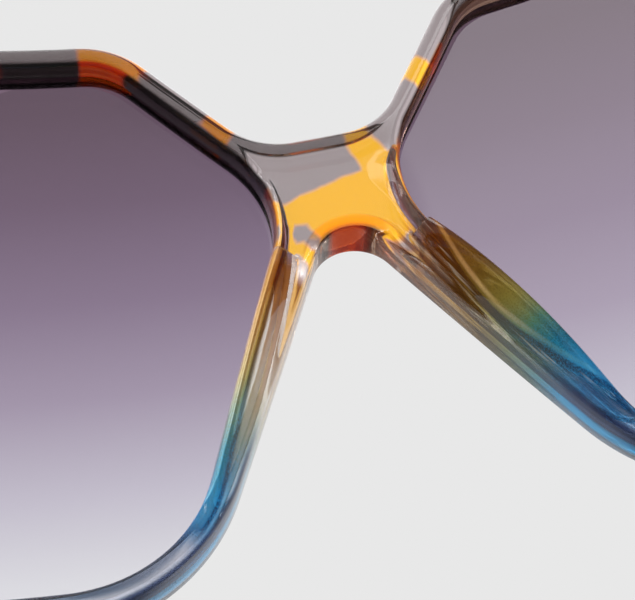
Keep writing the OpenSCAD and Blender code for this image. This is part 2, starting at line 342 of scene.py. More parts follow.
@dataclass(frozen=True)
class Streaks:
    """The streaks that follow an opening down the nose arm, stronger on the wearer's right, with a dark band
    of painted shade along the nose pad's outer slope and, on the right, a painted highlight on the pad's
    crest.
    """

    depth_share: float = 0.7
    height_share: float = 0.05
    noise: tuple[float, float, float] = (0.5, 2.0, 0.6)
    band_rise: Span = (0.0, 0.15)
    # The dark band is painted shade along the nose pad's outer slope, just past the leaf-shaped field.
    band_fall: Span = (0.6, 0.35)
    band_share: float = 0.92
    dark_left: Span = (0.50, 0.58)
    dark_right: Span = (0.46, 0.54)
    dark_leaf: Span = (0.0, 0.3)
    dark_share: Span = (0.2, 0.9)
    pale_noise: Span = (0.46, 0.38)
    pale_leaf: Span = (0.2, 0.5)
    pale_share: Span = (0.3, 0.65)
    # Where the painted highlight on the nose pad's crest, on the right only, rises and falls, and how strong
    # it is.
    crest_rise: Span = (-0.34, -0.17)
    crest_fall: Span = (0.04, -0.10)
    crest_share: float = 0.65

    def draw(self, sh: Shader, spot: Spot) -> tuple[Num, Num, Num]:
        """Draws the streaks.

        Args:
            sh: the material's tree.
            spot: where the point lies.

        Returns:
            How dark the streaks and the band of painted shade are, how pale the streaks are, and how strong
            the painted highlight on the crest of the leaf-shaped field is.
        """
        leaf, right = spot.leaf, spot.right
        across = spot.gap + spot.depth * self.depth_share
        run = sh.node("ShaderNodeCombineXYZ", {}, {0: across, 1: spot.height * self.height_share})
        streak = sh.noise(run, *self.noise)
        # Painted shade: a dark band down the nose pad's outer slope.
        shade_band = leaf.ease(*self.band_rise) * leaf.ease(*self.band_fall) * self.band_share
        dark = eased(streak, right, self.dark_left, self.dark_right) * leaf.ease(*self.dark_leaf)
        dark = dark * between(right, *self.dark_share)
        pale = streak.ease(*self.pale_noise) * leaf.ease(*self.pale_leaf) * between(right, *self.pale_share)
        # Painted highlight along the crest of the nose pad on the right.
        crest = leaf.ease(*self.crest_rise) * leaf.ease(*self.crest_fall) * right * self.crest_share
        return shade_band.higher(dark), pale, crest


@dataclass(frozen=True)
class SheetPlastic:
    """Clear sheet with a coloured front layer: smoke with amber patches, fading through olive to blue."""

    name: str = "tortoise_to_blue"
    smoke: Colour = (0.15, 0.11, 0.115)
    smoke_deep: Colour = (0.006, 0.004, 0.004)
    smoke_warm: Colour = (0.15, 0.055, 0.032)
    amber: Colour = (1.0, 0.30, 0.001)
    amber_deep: Colour = (0.66, 0.025, 0.001)
    amber_rim: Colour = (1.0, 0.16, 0.001)
    clear: Colour = (0.95, 0.95, 0.96)
    cream: Colour = (0.80, 0.74, 0.62)
    glint: Colour = (0.03, 0.46, 0.92)
    # Grey painted reflection on the foot of the back face, and a darker one further out.
    haze: Colour = (0.19, 0.195, 0.25)
    haze_far: Colour = (0.05, 0.055, 0.09)
    shade: Colour = (0.42, 0.33, 0.28)
    fade: Ramp = (
        (2.0, (0.04, 0.10, 0.22)),
        (5.5, (0.05, 0.28, 0.70)),
        (9.8, (0.05, 0.50, 0.96)),
        (13.0, (0.02, 0.23, 0.36)),
        (15.6, (0.14, 0.34, 0.18)),
        (18.5, (0.46, 0.38, 0.07)),
        (23.0, (0.62, 0.33, 0.025)),
        (28.0, (0.60, 0.20, 0.01)),
        (36.0, (0.60, 0.14, 0.004)),
    )
    fade_deep: Ramp = (
        (3.0, (0.006, 0.03, 0.10)),
        (8.0, (0.003, 0.04, 0.15)),
        (12.0, (0.003, 0.025, 0.05)),
        (16.0, (0.015, 0.04, 0.03)),
        (22.0, (0.10, 0.030, 0.005)),
        (30.0, (0.12, 0.010, 0.001)),
        (36.0, (0.10, 0.006, 0.001)),
    )
    # A brighter copy of the fade, used for the painted highlights on the nose arms.
    fade_bright: Ramp = (
        (6.0, (0.16, 0.50, 0.95)),
        (9.0, (0.14, 0.66, 1.0)),
        (12.8, (0.14, 0.50, 0.56)),
        (15.6, (0.42, 0.56, 0.34)),
        (18.5, (0.90, 0.66, 0.22)),
        (22.0, (1.0, 0.60, 0.22)),
        (28.0, (1.0, 0.46, 0.08)),
        (36.0, (1.0, 0.36, 0.02)),
    )
    # Bands across the lower rim's outer wall, from its back edge to its front; the grey at the back edge is
    # painted reflection, as on the foot.
    rim_bands: Ramp = (
        (0.15, (0.12, 0.14, 0.20)),
        (0.35, (0.008, 0.02, 0.09)),
        (1.6, (0.010, 0.03, 0.12)),
        (2.0, (0.08, 0.13, 0.28)),
        (2.4, (0.05, 0.10, 0.22)),
        (2.8, (0.05, 0.42, 0.80)),
        (3.7, (0.07, 0.50, 0.88)),
        (4.3, (0.38, 0.42, 0.46)),
        (5.0, (0.60, 0.62, 0.64)),
    )
    patches: tuple[Patch, ...] = (
        Patch(((7.7, 39.9), (-4.2, 42.9), (-4.9, 33.0), (8.3, 34.6))),
        Patch(((-3.0, 45.9), (-5.8, 46.5), (-7.3, 43.2), (-3.6, 42.6))),
        Patch(((-3.6, 43.3), (-7.0, 43.6), (-8.9, 42.3), (-6.0, 33.0), (-2.0, 33.0))),
        Patch(((9.2, 52.0), (7.5, 49.6), (9.6, 47.6), (11.0, 50.8))),
        Patch(((20.8, 59.9), (18.8, 59.6), (15.2, 58.0), (16.4, 56.0), (20.8, 56.8))),
        Patch(((-12.0, 54.4), (-14.5, 53.2), (-13.4, 50.6), (-10.5, 51.7))),
        Patch(((5.2, 37.0), (4.4, 38.0), (3.2, 37.7), (2.5, 36.4), (3.2, 35.7), (4.6, 35.9)), False),
    )
    patch_edge: Span = (0.3, -0.3)
    wobble_size: float = 3.5
    wobble: float = 1.1
    mottle: Span = (11.0, 1.0)
    mottle_noise: Span = (0.56, 0.60)
    mottle_x: Span = (28.0, 31.0)
    streaks: Streaks = Streaks()

    # The curved sheet, and where its layer starts and is full, in millimetres.
    wrap_r: float = WRAP_R
    shift_y: float = SHIFT_Y
    layer_depth: Span = (2.0, 2.8)
    end_x: Span = (66.7, 67.5)

    # Shares of an edge's rounding.
    wall_edge: Span = (0.55, 0.92)
    lip_edge: Span = (0.4, 0.75)
    line_rise: Span = (0.70, 0.78)
    line_fall: Span = (0.94, 0.88)
    brim_edge: Span = (0.02, 0.3)

    # Heights and distances in millimetres, where a mask starts and where it is full.
    top_z: Span = (32.0, 35.0)
    arch_z: Span = (42.5, 40.5)
    right_x: Span = (4.0, -6.0)
    rim_z: Span = (21.0, 12.0)
    foot_z: Span = (8.0, 5.0)
    foot_x: Span = (19.0, 23.0)
    # Where the painted reflection on the foot turns darker, further out.
    haze_x: Span = (23.0, 31.0)
    clear_left: Span = (0.6, 1.1)
    clear_right: Span = (1.5, 3.0)
    near_left: Span = (0.55, 0.3)
    near_right: Span = (0.75, 0.5)
    # Where the painted sheen, a highlight stripe beside the left opening, rises and falls.
    sheen_rise: Span = (0.1, 0.4)
    sheen_fall: Span = (1.25, 0.95)
    # Where the field beside the right opening turns darker towards the top.
    scorch_z: Span = (17.0, 23.0)
    spots_z: Span = (19.0, 11.0)
    amber_rim_z: Span = (44.0, 48.0)
    amber_lip_z: Span = (52.0, 46.0)
    glow_left: Span = (2.0, 1.2)
    glow_right: Span = (-2.6, -1.2)

    # The leaf-shaped field beside an opening, and the slow wave in the fade.
    leaf_z: float = 22.0
    leaf_half: float = 12.0
    leaf_gap: float = 1.15
    leaf_more: float = 1.25
    leaf_bow: float = 2.2
    wave_size: float = 8.0
    wave_height: float = 4.0
    right_drop: float = 3.2

    # Fine grain in the layer, and the parts of it that show.
    grain: tuple[float, float, float] = (0.16, 2.0, 0.7)
    spots_grain: Span = (0.42, 0.64)
    fleck_grain: Span = (0.50, 0.34)

    # How strong each mask is. A pair goes from the wearer's left to the right.
    bare: Span = (0.95, 0.35)
    line_share: float = 0.85
    brim_share: float = 0.85
    near_foot: float = 0.7
    drawn_share: float = 0.85
    rim_share: float = 0.96
    lip_loss: float = 0.8
    sheen_share: float = 0.85
    scorch_share: float = 0.7
    spots_share: float = 0.55
    foot_share: float = 0.85
    fleck_share: float = 0.3
    lip_solid: Span = (0.7, 0.25)
    arch_solid: float = 0.55
    near_solid: float = 0.55
    drawn_solid: float = 0.5
    rim_solid: float = 0.6
    pigment: float = 0.22
    roughness: float = 0.03
    index: float = 1.49

    def build(self) -> bpy.types.Material:
        """Makes the material.

        Returns:
            The material, which reads the object's place and the wall, lip and gap attributes.
        """
        material, sh = new_material(self.name)
        spot = self._spot(sh)
        dark, pale, crest = self.streaks.draw(sh, spot)
        # Streaks on the right, with the painted shade band and the painted crest highlight.
        drawn = dark.higher(pale).higher(crest) * spot.right * (1 - spot.top) * self.drawn_share
        grain = sh.noise(spot.vector, *self.grain)
        tint = sh.mix(spot.top, self._lower(sh, spot, dark, pale, crest, grain), self._upper(sh, spot))
        flecks = grain.ease(*self.fleck_grain) * spot.near * self.fleck_share
        tint = sh.mix(flecks, tint, sh.ramp(self.fade_deep, spot.height))
        solid = spot.lip * spot.top * between(spot.right, *self.lip_solid)
        solid = solid.higher(spot.arch * spot.top * self.arch_solid)
        solid = solid.higher(spot.near * self.near_solid).higher(drawn * self.drawn_solid)
        solid = solid.higher(spot.wall * spot.rim * self.rim_solid).higher(self.pigment)
        coloured = sh.blend(solid, self._plastic(sh, tint, 1.0), self._plastic(sh, tint, 0.0))
        clear = self._plastic(sh, self.clear, 1.0)
        layer = self._layer(spot, drawn)
        sh.finish(clear_shadow(sh, sh.blend(layer, clear, coloured), layer, self.clear, self.shade))
        return material

    def zones(self, x: Num, z: Num, wall: Num) -> tuple[Union[Num, float], ...]:
        """Where the sheet's finish changes.

        Args:
            x: distance to the wearer's left.
            z: height.
            wall: 1 on the outer walls.

        Returns:
            1 on the streaked right half, 1 on the banded lower rim, 1 on the foot of the back face, where a
            grey reflection is painted, and how much of the layer is missing away from the openings.
        """
        right = x.ease(*self.right_x)
        # The foot of the back face, which carries a painted grey reflection.
        foot = z.ease(*self.foot_z) * abs(x).ease(*self.foot_x) * (1 - wall)
        return right, z.ease(*self.rim_z), foot, between(right, *self.bare)

    def _spot(self, sh: Shader) -> Spot:
        """Works out where a point lies on the sheet.

        Args:
            sh: the material's tree.

        Returns:
            The point's places and masks.
        """
        vector, x, y, z = sh.place()
        edge, rim_edge, gap = (self._given(sh, title) for title in ("wall", "lip", "gap"))
        wall = edge.ease(*self.wall_edge)
        top, low = z.ease(*self.top_z), z.ease(*self.arch_z)
        right, rim, foot, bare = self.zones(x, z, wall)
        bow = (z - self.leaf_z) / self.leaf_half
        leaf = gap - self.leaf_gap - right * (self.leaf_more - bow * bow * self.leaf_bow)
        near = eased(leaf, right, self.near_left, self.near_right) * (1 - top) * (1 - foot * self.near_foot)
        return Spot(
            vector=vector,
            x=x,
            z=z,
            depth=self.depth(x, y),
            height=z + (sh.noise(vector, self.wave_size) - 0.5) * self.wave_height - right * self.right_drop,
            gap=gap,
            leaf=leaf,
            wall=wall,
            line=edge.ease(*self.line_rise) * edge.ease(*self.line_fall),
            brim=edge.ease(*self.brim_edge) * low * self.brim_share,
            lip=rim_edge.ease(*self.lip_edge),
            arch=wall * low,
            top=top,
            near=near,
            right=right,
            rim=rim,
            foot=foot,
            bare=bare,
        )

    def _layer(self, spot: Spot, drawn: Num) -> Num:
        """Where the coloured layer shows.

        Args:
            spot: where the point lies.
            drawn: how strong the streaks are, with the painted shade band and the painted crest highlight.

        Returns:
            1 in the layer, and 0 in the clear body.
        """
        front = spot.depth.ease(*self.layer_depth).higher(abs(spot.x).ease(*self.end_x))
        pale = eased(spot.gap, spot.right, self.clear_left, self.clear_right) * spot.bare * (1 - spot.top)
        layer = (front * (1 - pale)).higher(spot.near).higher(spot.lip)
        layer = layer.higher(spot.arch.higher(spot.brim) * spot.top)
        return layer.higher(spot.wall * spot.rim * self.rim_share).higher(drawn)

    def _upper(self, sh: Shader, spot: Spot) -> Num:
        """The colour of the tortoise part.

        Args:
            sh: the material's tree.
            spot: where the point lies.

        Returns:
            The colour, deep on the edges that are seen through the sheet.
        """
        amber = self._tortoise(sh, spot.vector, spot.x)
        left_rim = spot.z.ease(*self.amber_rim_z) * (1 - spot.right)
        bright = sh.mix(amber, self.smoke, sh.mix(left_rim, self.amber, self.amber_rim))
        lit = spot.x.ease(*self.glow_left) * spot.x.ease(*self.glow_right)
        glow = (1 - spot.lip * spot.z.ease(*self.amber_lip_z) * self.lip_loss) * (1 - spot.arch * (1 - lit))
        smoke = sh.mix(spot.lip * spot.right, self.smoke_deep, self.smoke_warm)
        deep = sh.mix(amber * glow, smoke, self.amber_deep)
        return sh.mix(spot.lip.higher(spot.arch).higher(spot.line * self.line_share), bright, deep)

    def _lower(self, sh: Shader, spot: Spot, dark: Num, pale: Num, crest: Num, grain: Num) -> Num:
        """The colour of the nose arms and the lower rim, with their painted highlights, shade and reflection.

        Args:
            sh: the material's tree.
            spot: where the point lies.
            dark: how dark the streaks and the band of painted shade are.
            pale: how pale they are.
            crest: how strong the painted highlight on the leaf's crest is.
            grain: fine noise.

        Returns:
            The colour.
        """
        height, rim_wall = spot.height, spot.wall * spot.rim
        # Painted highlight: a bright stripe beside the left opening, joined by the painted crest highlight on
        # the right.
        painted_sheen = spot.gap.ease(*self.sheen_rise) * spot.gap.ease(*self.sheen_fall) * (1 - spot.right)
        painted_sheen = (painted_sheen * spot.bare * self.sheen_share).higher(crest)
        # Darker towards the top of the field beside the right opening.
        darker_top = height.ease(*self.scorch_z) * spot.right * spot.near * self.scorch_share
        tint = sh.mix(dark.higher(darker_top), sh.ramp(self.fade, height), sh.ramp(self.fade_deep, height))
        tint = sh.mix(pale, tint, self.cream)
        tint = sh.mix(painted_sheen, tint, sh.ramp(self.fade_bright, height))
        # Bands down the outer wall of the lower rim, whose grey back edge is a painted reflection.
        tint = sh.mix(rim_wall, tint, sh.ramp(self.rim_bands, spot.depth))
        spots = grain.ease(*self.spots_grain) * height.ease(*self.spots_z) * (1 - rim_wall)
        tint = sh.mix(spots * self.spots_share, tint, self.glint)
        # Painted reflection: the foot of the back face turns grey, darker further out.
        haze = sh.mix(abs(spot.x).ease(*self.haze_x), self.haze, self.haze_far)
        return sh.mix(spot.foot * self.foot_share, tint, haze)

    def depth(self, x: Num, y: Num) -> Num:
        """How far in front of the sheet's back face a point lies, in millimetres."""
        bend = x * x / (2 * self.wrap_r)
        return bend + bend * bend / (2 * self.wrap_r) + self.shift_y - y

    def _given(self, sh: Shader, title: str) -> Num:
        """A number that the mesh carries at every point."""
        return sh.node("ShaderNodeAttribute", {"attribute_name": title}, out="Fac")

    def _plastic(self, sh: Shader, tint: Input, see_through: float) -> Num:
        """Makes polished plastic.

        Args:
            sh: the material's tree.
            tint: its colour.
            see_through: 1 for clear plastic, and 0 for solid.

        Returns:
            The shader.
        """
        values = {
            "Base Color": tint,
            "Roughness": self.roughness,
            "IOR": self.index,
            "Transmission Weight": see_through,
        }
        return sh.node("ShaderNodeBsdfPrincipled", {}, values, out="BSDF")

    def _tortoise(self, sh: Shader, vector: Num, x: Num) -> Num:
        """Where the sheet is amber.

        Args:
            sh: the material's tree.
            vector: the object's own coordinates in millimetres.
            x: distance to the wearer's left.

        Returns:
            1 where the sheet is amber, and 0 where it is smoke.
        """
        wobble = (sh.noise(vector, self.wobble_size) - 0.5) * self.wobble
        amber = sh.noise(vector, *self.mottle).ease(*self.mottle_noise) * abs(x).ease(*self.mottle_x)
        for patch in self.patches:
            mask = self._patch(sh, vector, wobble, patch)
            amber = amber.higher(mask) if patch.amber else amber * (1 - mask)
        return amber

    def _patch(self, sh: Shader, vector: Num, wobble: Num, patch: Patch) -> Num:
        """The mask of one patch.

        Args:
            sh: the material's tree.
            vector: the object's own coordinates in millimetres.
            wobble: how far the patch's edge wanders.
            patch: the patch.

        Returns:
            1 inside the patch and 0 outside it.
        """
        most = None
        for (x0, z0), (x1, z1) in zip(patch.corners, patch.corners[1:] + patch.corners[:1]):
            length = math.hypot(x1 - x0, z1 - z0)
            out_x, out_z = (z1 - z0) / length, (x0 - x1) / length
            inputs = {0: vector, 1: (out_x, 0.0, out_z)}
            along = sh.node("ShaderNodeVectorMath", {"operation": "DOT_PRODUCT"}, inputs, out="Value")
            gap = along - (out_x * x0 + out_z * z0)
            most = gap if most is None else most.higher(gap)
        return (most + wobble).ease(*self.patch_edge)


@dataclass(frozen=True)
class ArmPlastic(SheetPlastic):
    """The same sheet cut for the temples: the layer lies outside, and the fade runs down to the tip."""

    name: str = "tortoise_to_blue_arm"
    inner_x: float = INNER_X
    patches: tuple[Patch, ...] = ()

    def depth(self, x: Num, y: Num) -> Num:
        """How far outside the arm's inner face a point lies, in millimetres."""
        return abs(x) - self.inner_x

    def zones(self, x: Num, z: Num, wall: Num) -> tuple[Union[Num, float], ...]:
        """Both arms are alike, with a plain fade and no bands."""
        return 0.0, 0.0, 0.0, 0.0


def clear_shadow(sh: Shader, surface: Num, share: Num, pale: Colour, deep: Colour) -> Num:
    """Lets light through a clear piece, so that its shadow isn't black.

    Args:
        sh: the material's tree.
        surface: the piece's own surface.
        share: how deep the tint is at each point.
        pale: what the piece lets through at share 0.
        deep: what it lets through at share 1.

    Returns:
        The surface with its shadow.
    """
    through = [sh.node("ShaderNodeBsdfTransparent", {}, {"Color": colour}) for colour in (pale, deep)]
    return sh.blend(sh.ray("Shadow"), surface, sh.blend(share, *through))


@dataclass(frozen=True)
class LensTint:
    """Smoke gradient of the lenses, as see-through colours at heights in millimetres."""

    name: str = "gradient_smoke_lens"
    tints: Ramp = (
        (4.0, (0.65, 0.645, 0.685)),
        (12.0, (0.50, 0.47, 0.55)),
        (22.0, (0.325, 0.27, 0.36)),
        (32.0, (0.218, 0.162, 0.238)),
        (43.0, (0.148, 0.10, 0.15)),
        (54.0, (0.112, 0.072, 0.103)),
    )
    index: float = 1.5

    def build(self) -> bpy.types.Material:
        """Makes the material.

        Returns:
            The material, which reads the object's own height.
        """
        material, sh = new_material(self.name)
        _, _, _, z = sh.place()
        (low, pale), (high, deep) = self.tints[0], self.tints[-1]
        values = {
            "Base Color": sh.ramp(self.tints, z),
            "Roughness": 0.0,
            "IOR": self.index,
            "Transmission Weight": 1.0,
        }
        surface = sh.node("ShaderNodeBsdfPrincipled", {}, values, out="BSDF")
        sh.finish(clear_shadow(sh, surface, (z - low) / (high - low), pale, deep))
        return material


@dataclass(frozen=True)
class Metal:
    """Plated metal with fine drawing marks."""

    name: str
    colour: Colour
    roughness: float = 0.28
    marks: float = 0.12
    mark_noise: Span = (0.3, 3.0)
    worn: float = 0.82
    bump: float = 0.15
    bump_depth: float = 0.00002

    def build(self) -> bpy.types.Material:
        """Makes the material.

        Returns:
            The material, whose marks show in its colour, roughness and bump.
        """
        material, sh = new_material(self.name)
        vector, _, _, _ = sh.place()
        grain = sh.noise(vector, *self.mark_noise)
        relief = {"Strength": self.bump, "Distance": self.bump_depth, "Height": grain}
        values = {
            "Base Color": sh.mix(grain, tuple(self.worn * c for c in self.colour), self.colour),
            "Metallic": 1.0,
            "Roughness": self.roughness + (grain - 0.5) * self.marks,
            "Normal": sh.node("ShaderNodeBump", {}, relief, out="Normal"),
        }
        sh.finish(sh.node("ShaderNodeBsdfPrincipled", {}, values, out="BSDF"))
        return material


# Flat outlines.


def smooth(t: np.ndarray) -> np.ndarray:
    """Runs smoothly from 0 to 1."""
    t = np.clip(t, 0, 1)
    return t * t * (3 - 2 * t)


def unit(v: np.ndarray) -> np.ndarray:
    """v at length 1."""
    return v / np.hypot(v[0], v[1])


def touch_centre(p: np.ndarray, q: np.ndarray, s: np.ndarray, r: float) -> np.ndarray:
    """Centre of the circle of radius r that touches both sides of the corner at q."""
    a, b = unit(p - q), unit(s - q)
    return q + unit(a + b) * r / math.sqrt((1 - a @ b) / 2)


def grown(corners: Sequence[np.ndarray], by: float) -> list[np.ndarray]:
    """The corners moved out so that every side lies that much further out."""
    n = len(corners)
    return [touch_centre(corners[i - 1], corners[i], corners[(i + 1) % n], -by) for i in range(n)]


def on_line(a: np.ndarray, b: np.ndarray, z: float) -> np.ndarray:
    """The point of the line through a and b at height z."""
    return a + (b - a) * (z - a[1]) / (b[1] - a[1])


def rounded(corners: Sequence[np.ndarray], radii: Sequence[float], step: float) -> np.ndarray:
    """Rounds the corners of a closed outline.

    Args:
        corners: the sharp corners in order.
        radii: the radius at each.
        step: longest distance between points on an arc.

    Returns:
        The outline's points, without the first repeated.
    """
    out = []
    n = len(corners)
    for i, r in enumerate(radii):
        p, q, s = corners[i - 1], corners[i], corners[(i + 1) % n]
        if r == 0:
            out.append(q)
            continue
        c = touch_centre(p, q, s, r)
        reach = math.sqrt(float((c - q) @ (c - q)) - r * r)
        a, b = q + unit(p - q) * reach - c, q + unit(s - q) * reach - c
        start = math.atan2(a[1], a[0])
        turn = (math.atan2(b[1], b[0]) - start + math.pi) % (2 * math.pi) - math.pi
        count = max(3, math.ceil(abs(turn) * r / step))
        for k in range(count + 1):
            angle = start + turn * k / count
            out.append(c + r * np.array([math.cos(angle), math.sin(angle)]))
    return np.array(out)


def densified(points: np.ndarray, step_at: Callable[[np.ndarray], float]) -> np.ndarray:
    """Adds points to a closed outline.

    Args:
        points: the outline.
        step_at: the longest gap allowed at a point. A last short gap is shared out or taken in.

    Returns:
        The outline with no longer gap.
    """
    same, short, stretch = 1e-6, 0.5, 1.3
    out = []
    for i, a in enumerate(points):
        b = points[(i + 1) % len(points)]
        length = float(np.hypot(*(b - a)))
        if length < same:
            continue
        done = 0.0
        while done < length - TINY:
            here = a + (b - a) * done / length
            out.append(here)
            left = length - done
            gap = min(step_at(here), left)
            if left - gap < gap * short:
                gap = left if left < stretch * gap else left / 2
            done += gap
    return np.array(out)


def wound(points: np.ndarray, solid: bool) -> np.ndarray:
    """Turns an outline the right way round.

    Args:
        points: the outline.
        solid: True round a solid, and False round a hole.

    Returns:
        The outline turning left round a solid, or right round a hole.
    """
    x, z = points[:, 0], points[:, 1]
    area = float(np.sum(x * np.roll(z, -1) - np.roll(x, -1) * z))
    return points if (area > 0) == solid else points[::-1].copy()


def inside(points: np.ndarray, loop: np.ndarray) -> np.ndarray:
    """Finds the points inside a loop.

    Args:
        points: the points to test.
        loop: the closed loop.

    Returns:
        True for each point inside.
    """
    x, z = points[:, 0][:, None], points[:, 1][:, None]
    a, b = loop, np.roll(loop, -1, 0)
    crosses = (a[:, 1] > z) != (b[:, 1] > z)
    rise = np.where(b[:, 1] == a[:, 1], TINY, b[:, 1] - a[:, 1])
    at = (b[:, 0] - a[:, 0]) * (z - a[:, 1]) / rise + a[:, 0]
    return (np.sum(crosses & (x < at), 1) % 2).astype(bool)


def on_face(points: np.ndarray, rings: Sequence[np.ndarray]) -> np.ndarray:
    """Finds the points on a face with holes.

    Args:
        points: the points to test.
        rings: the face's border, then its holes.

    Returns:
        True for each point inside the border and outside the holes.
    """
    good = inside(points, rings[0])
    for ring in rings[1:]:
        good &= ~inside(points, ring)
    return good


def nearest(points: np.ndarray, loops: Sequence[np.ndarray]) -> np.ndarray:
    """Measures how far points are from some loops.

    Args:
        points: the points to measure.
        loops: the loops.

    Returns:
        The distance from each to the nearest point of a loop.
    """
    every = np.vstack(loops)
    tree = KDTree(len(every))
    for i, p in enumerate(every):
        tree.insert((p[0], p[1], 0.0), i)
    tree.balance()
    return np.array([tree.find((p[0], p[1], 0.0))[2] for p in points])


# Slabs with rounded edges.


@dataclass(frozen=True)
class EdgeShape:
    """How a slab's edge goes from its back face (depth 0) to its front face."""

    back: float
    front: float
    thickness: float
    groove: Optional[tuple[float, float, float]] = None
    steps: int = 6
    margin: float = 0.06

    def rings(self, share: np.ndarray) -> tuple[np.ndarray, np.ndarray]:
        """Works out the rings of an edge.

        Args:
            share: share of the edge radius at each point.

        Returns:
            Offsets into the material, and depths, with one row per point and one column per ring.
        """
        angles = np.linspace(0, math.pi / 2, self.steps + 1)
        flat, back, front = np.zeros(len(share)), self.back * share, self.front * share
        off = [back + self.margin] + [back * (1 - math.sin(a)) for a in angles]
        depth = [flat] + [back * (1 - math.cos(a)) for a in angles]
        if self.groove:
            cut, start, end = self.groove
            off += [flat, flat + cut, flat + cut, flat]
            depth += [flat + start, flat + start, flat + end, flat + end]
        off += [front * (1 - math.sin(a)) for a in angles[::-1]] + [front + self.margin]
        depth += [self.thickness - front * (1 - math.cos(a)) for a in angles[::-1]] + [flat + self.thickness]
        return np.array(off).T, np.array(depth).T


@dataclass
class Slab:
    """A closed solid between two faces, from one outline and its holes."""

    outline: np.ndarray
    edge: EdgeShape
    holes: Sequence[np.ndarray] = ()
    hole_edge: Optional[EdgeShape] = None
    radius_at: Optional[Callable[[np.ndarray], np.ndarray]] = None
    grid: float = 1.0
    extra: Optional[np.ndarray] = None
    keep: Optional[Callable[[np.ndarray], np.ndarray]] = None

    # The share of the gap between two loops that their edges may take, and the gap where there is no hole.
    room: float = 0.9
    far: float = 9.0

    # The grid's shift, and how clear of the loops its points, in grid steps, and the extra ones stay.
    grid_shift: Span = (0.013, 0.017)
    grid_clear: float = 0.45
    extra_clear: float = 0.05
    same: float = 1e-7

    def mesh(
        self,
        name: str,
        place: Callable[[np.ndarray, np.ndarray], np.ndarray],
        lift: Optional[Callable[[np.ndarray, np.ndarray], np.ndarray]] = None,
        sharp: float = SMOOTH_BELOW,
    ) -> bpy.types.Mesh:
        """Builds the slab's mesh.

        Args:
            name: the mesh's name.
            place: turns flat points and depths into points in millimetres.
            lift: how far back a point of the back face stands, from its place and its distance to a hole.
            sharp: angle in degrees past which an edge is drawn sharp.

        Returns:
            A closed mesh in metres. Its attributes are "wall", 1 on the outer edges, "lip", 1 on the edges
            of the holes, and "gap", the distance to a hole in millimetres.
        """
        flat, depths, back, walls, lips, faces = [], [], [], [], [], []
        caps: tuple[list, list] = ([], [])
        total = 0
        loops = [(wound(self.outline, True), self.edge)]
        loops += [(wound(h, False), self.hole_edge or self.edge) for h in self.holes]
        for number, (loop, edge) in enumerate(loops):
            share = self.radius_at(loop) if self.radius_at and number == 0 else np.ones(len(loop))
            others = [other for other, _ in (loops[1:] if number == 0 else loops[:1])]
            if len(loops) > 1:
                both = loops[0][1].back + loops[1][1].back
                share = np.minimum(share, nearest(loop, others) * self.room / both)
            off, depth = edge.rings(share)
            ahead = np.roll(loop, -1, 0) - np.roll(loop, 1, 0)
            ahead /= np.hypot(ahead[:, 0], ahead[:, 1])[:, None]
            normal = np.stack([-ahead[:, 1], ahead[:, 0]], 1)
            n, k = off.shape
            for j in range(k):
                behind = j <= edge.steps + 1
                flat.append(loop + normal * off[:, j : j + 1])
                depths.append(depth[:, j])
                back.append(np.full(n, behind))
                edges = 1 - np.clip(off[:, j] / (edge.back if behind else edge.front), 0, 1)
                walls.append(edges * (number == 0))
                lips.append(edges * (number > 0))
            rows = total + np.arange(n)
            after = np.roll(rows, -1)
            for j in range(k - 1):
                here, there = j * n, (j + 1) * n
                faces += np.stack([rows + here, after + here, after + there, rows + there], 1).tolist()
            caps[0].append((total, flat[-k]))
            caps[1].append((total + (k - 1) * n, flat[-1]))
            total += n * k
        for behind, cap in zip((True, False), caps):
            added, triangles = self._fill(cap, total, behind)
            flat.append(added)
            depths.append(np.full(len(added), 0.0 if behind else self.edge.thickness))
            back.append(np.full(len(added), behind))
            walls.append(np.zeros(len(added)))
            lips.append(np.zeros(len(added)))
            faces += triangles
            total += len(added)
        points = np.vstack(flat)
        solid = place(points, np.concatenate(depths))
        gap = np.full(len(points), self.far)
        if self.holes:
            gap = nearest(points, [loop for loop, _ in loops[1:]])
        if lift is not None:
            rear = np.concatenate(back)
            solid[rear, 1] += lift(points[rear], gap[rear])
        values = {"wall": np.concatenate(walls), "lip": np.concatenate(lips), "gap": gap}
        return closed_mesh(name, solid * MM, faces, values, sharp)

    def _fill(self, cap: list, base: int, behind: bool) -> tuple[np.ndarray, list]:
        """Fills one face with triangles.

        Args:
            cap: first index and flat points of each loop.
            base: index of the first added point.
            behind: True for the back face, which also has the extra points.

        Returns:
            The added points and the triangles as lists of indices.
        """
        rings = [points for _, points in cap]
        low, high = rings[0].min(0), rings[0].max(0)
        xs, zs = np.meshgrid(np.arange(low[0], high[0], self.grid), np.arange(low[1], high[1], self.grid))
        added = np.stack([xs.ravel(), zs.ravel()], 1) + np.array(self.grid_shift)
        if self.keep is not None and behind:
            added = added[self.keep(added)]
        added = added[on_face(added, rings)]
        if len(added):
            added = added[nearest(added, rings) > self.grid * self.grid_clear]
        if self.extra is not None and behind:
            extra = self.extra[on_face(self.extra, rings)]
            added = np.vstack([added, extra[nearest(extra, rings) > self.extra_clear]])
        points, edges, index = [], [], []
        for first, ring in cap:
            start = len(points)
            points += [Vector((float(p[0]), float(p[1]))) for p in ring]
            index += [first + i for i in range(len(ring))]
            edges += [(start + i, start + (i + 1) % len(ring)) for i in range(len(ring))]
        points += [Vector((float(p[0]), float(p[1]))) for p in added]
        index += [base + i for i in range(len(added))]
        _, _, made, origin, _, _ = delaunay_2d_cdt(points, edges, [], 2, self.same)
        names = [index[ids[0]] for ids in origin]
        flat = np.array([tuple(p) for p in points])
        found = np.array([[ids[0] for ids in (origin[i] for i in face)] for face in made])
        real = on_face(flat[found].mean(1), rings)
        return added, [[names[i] for i in face] for face, kept in zip(made, real) if kept]


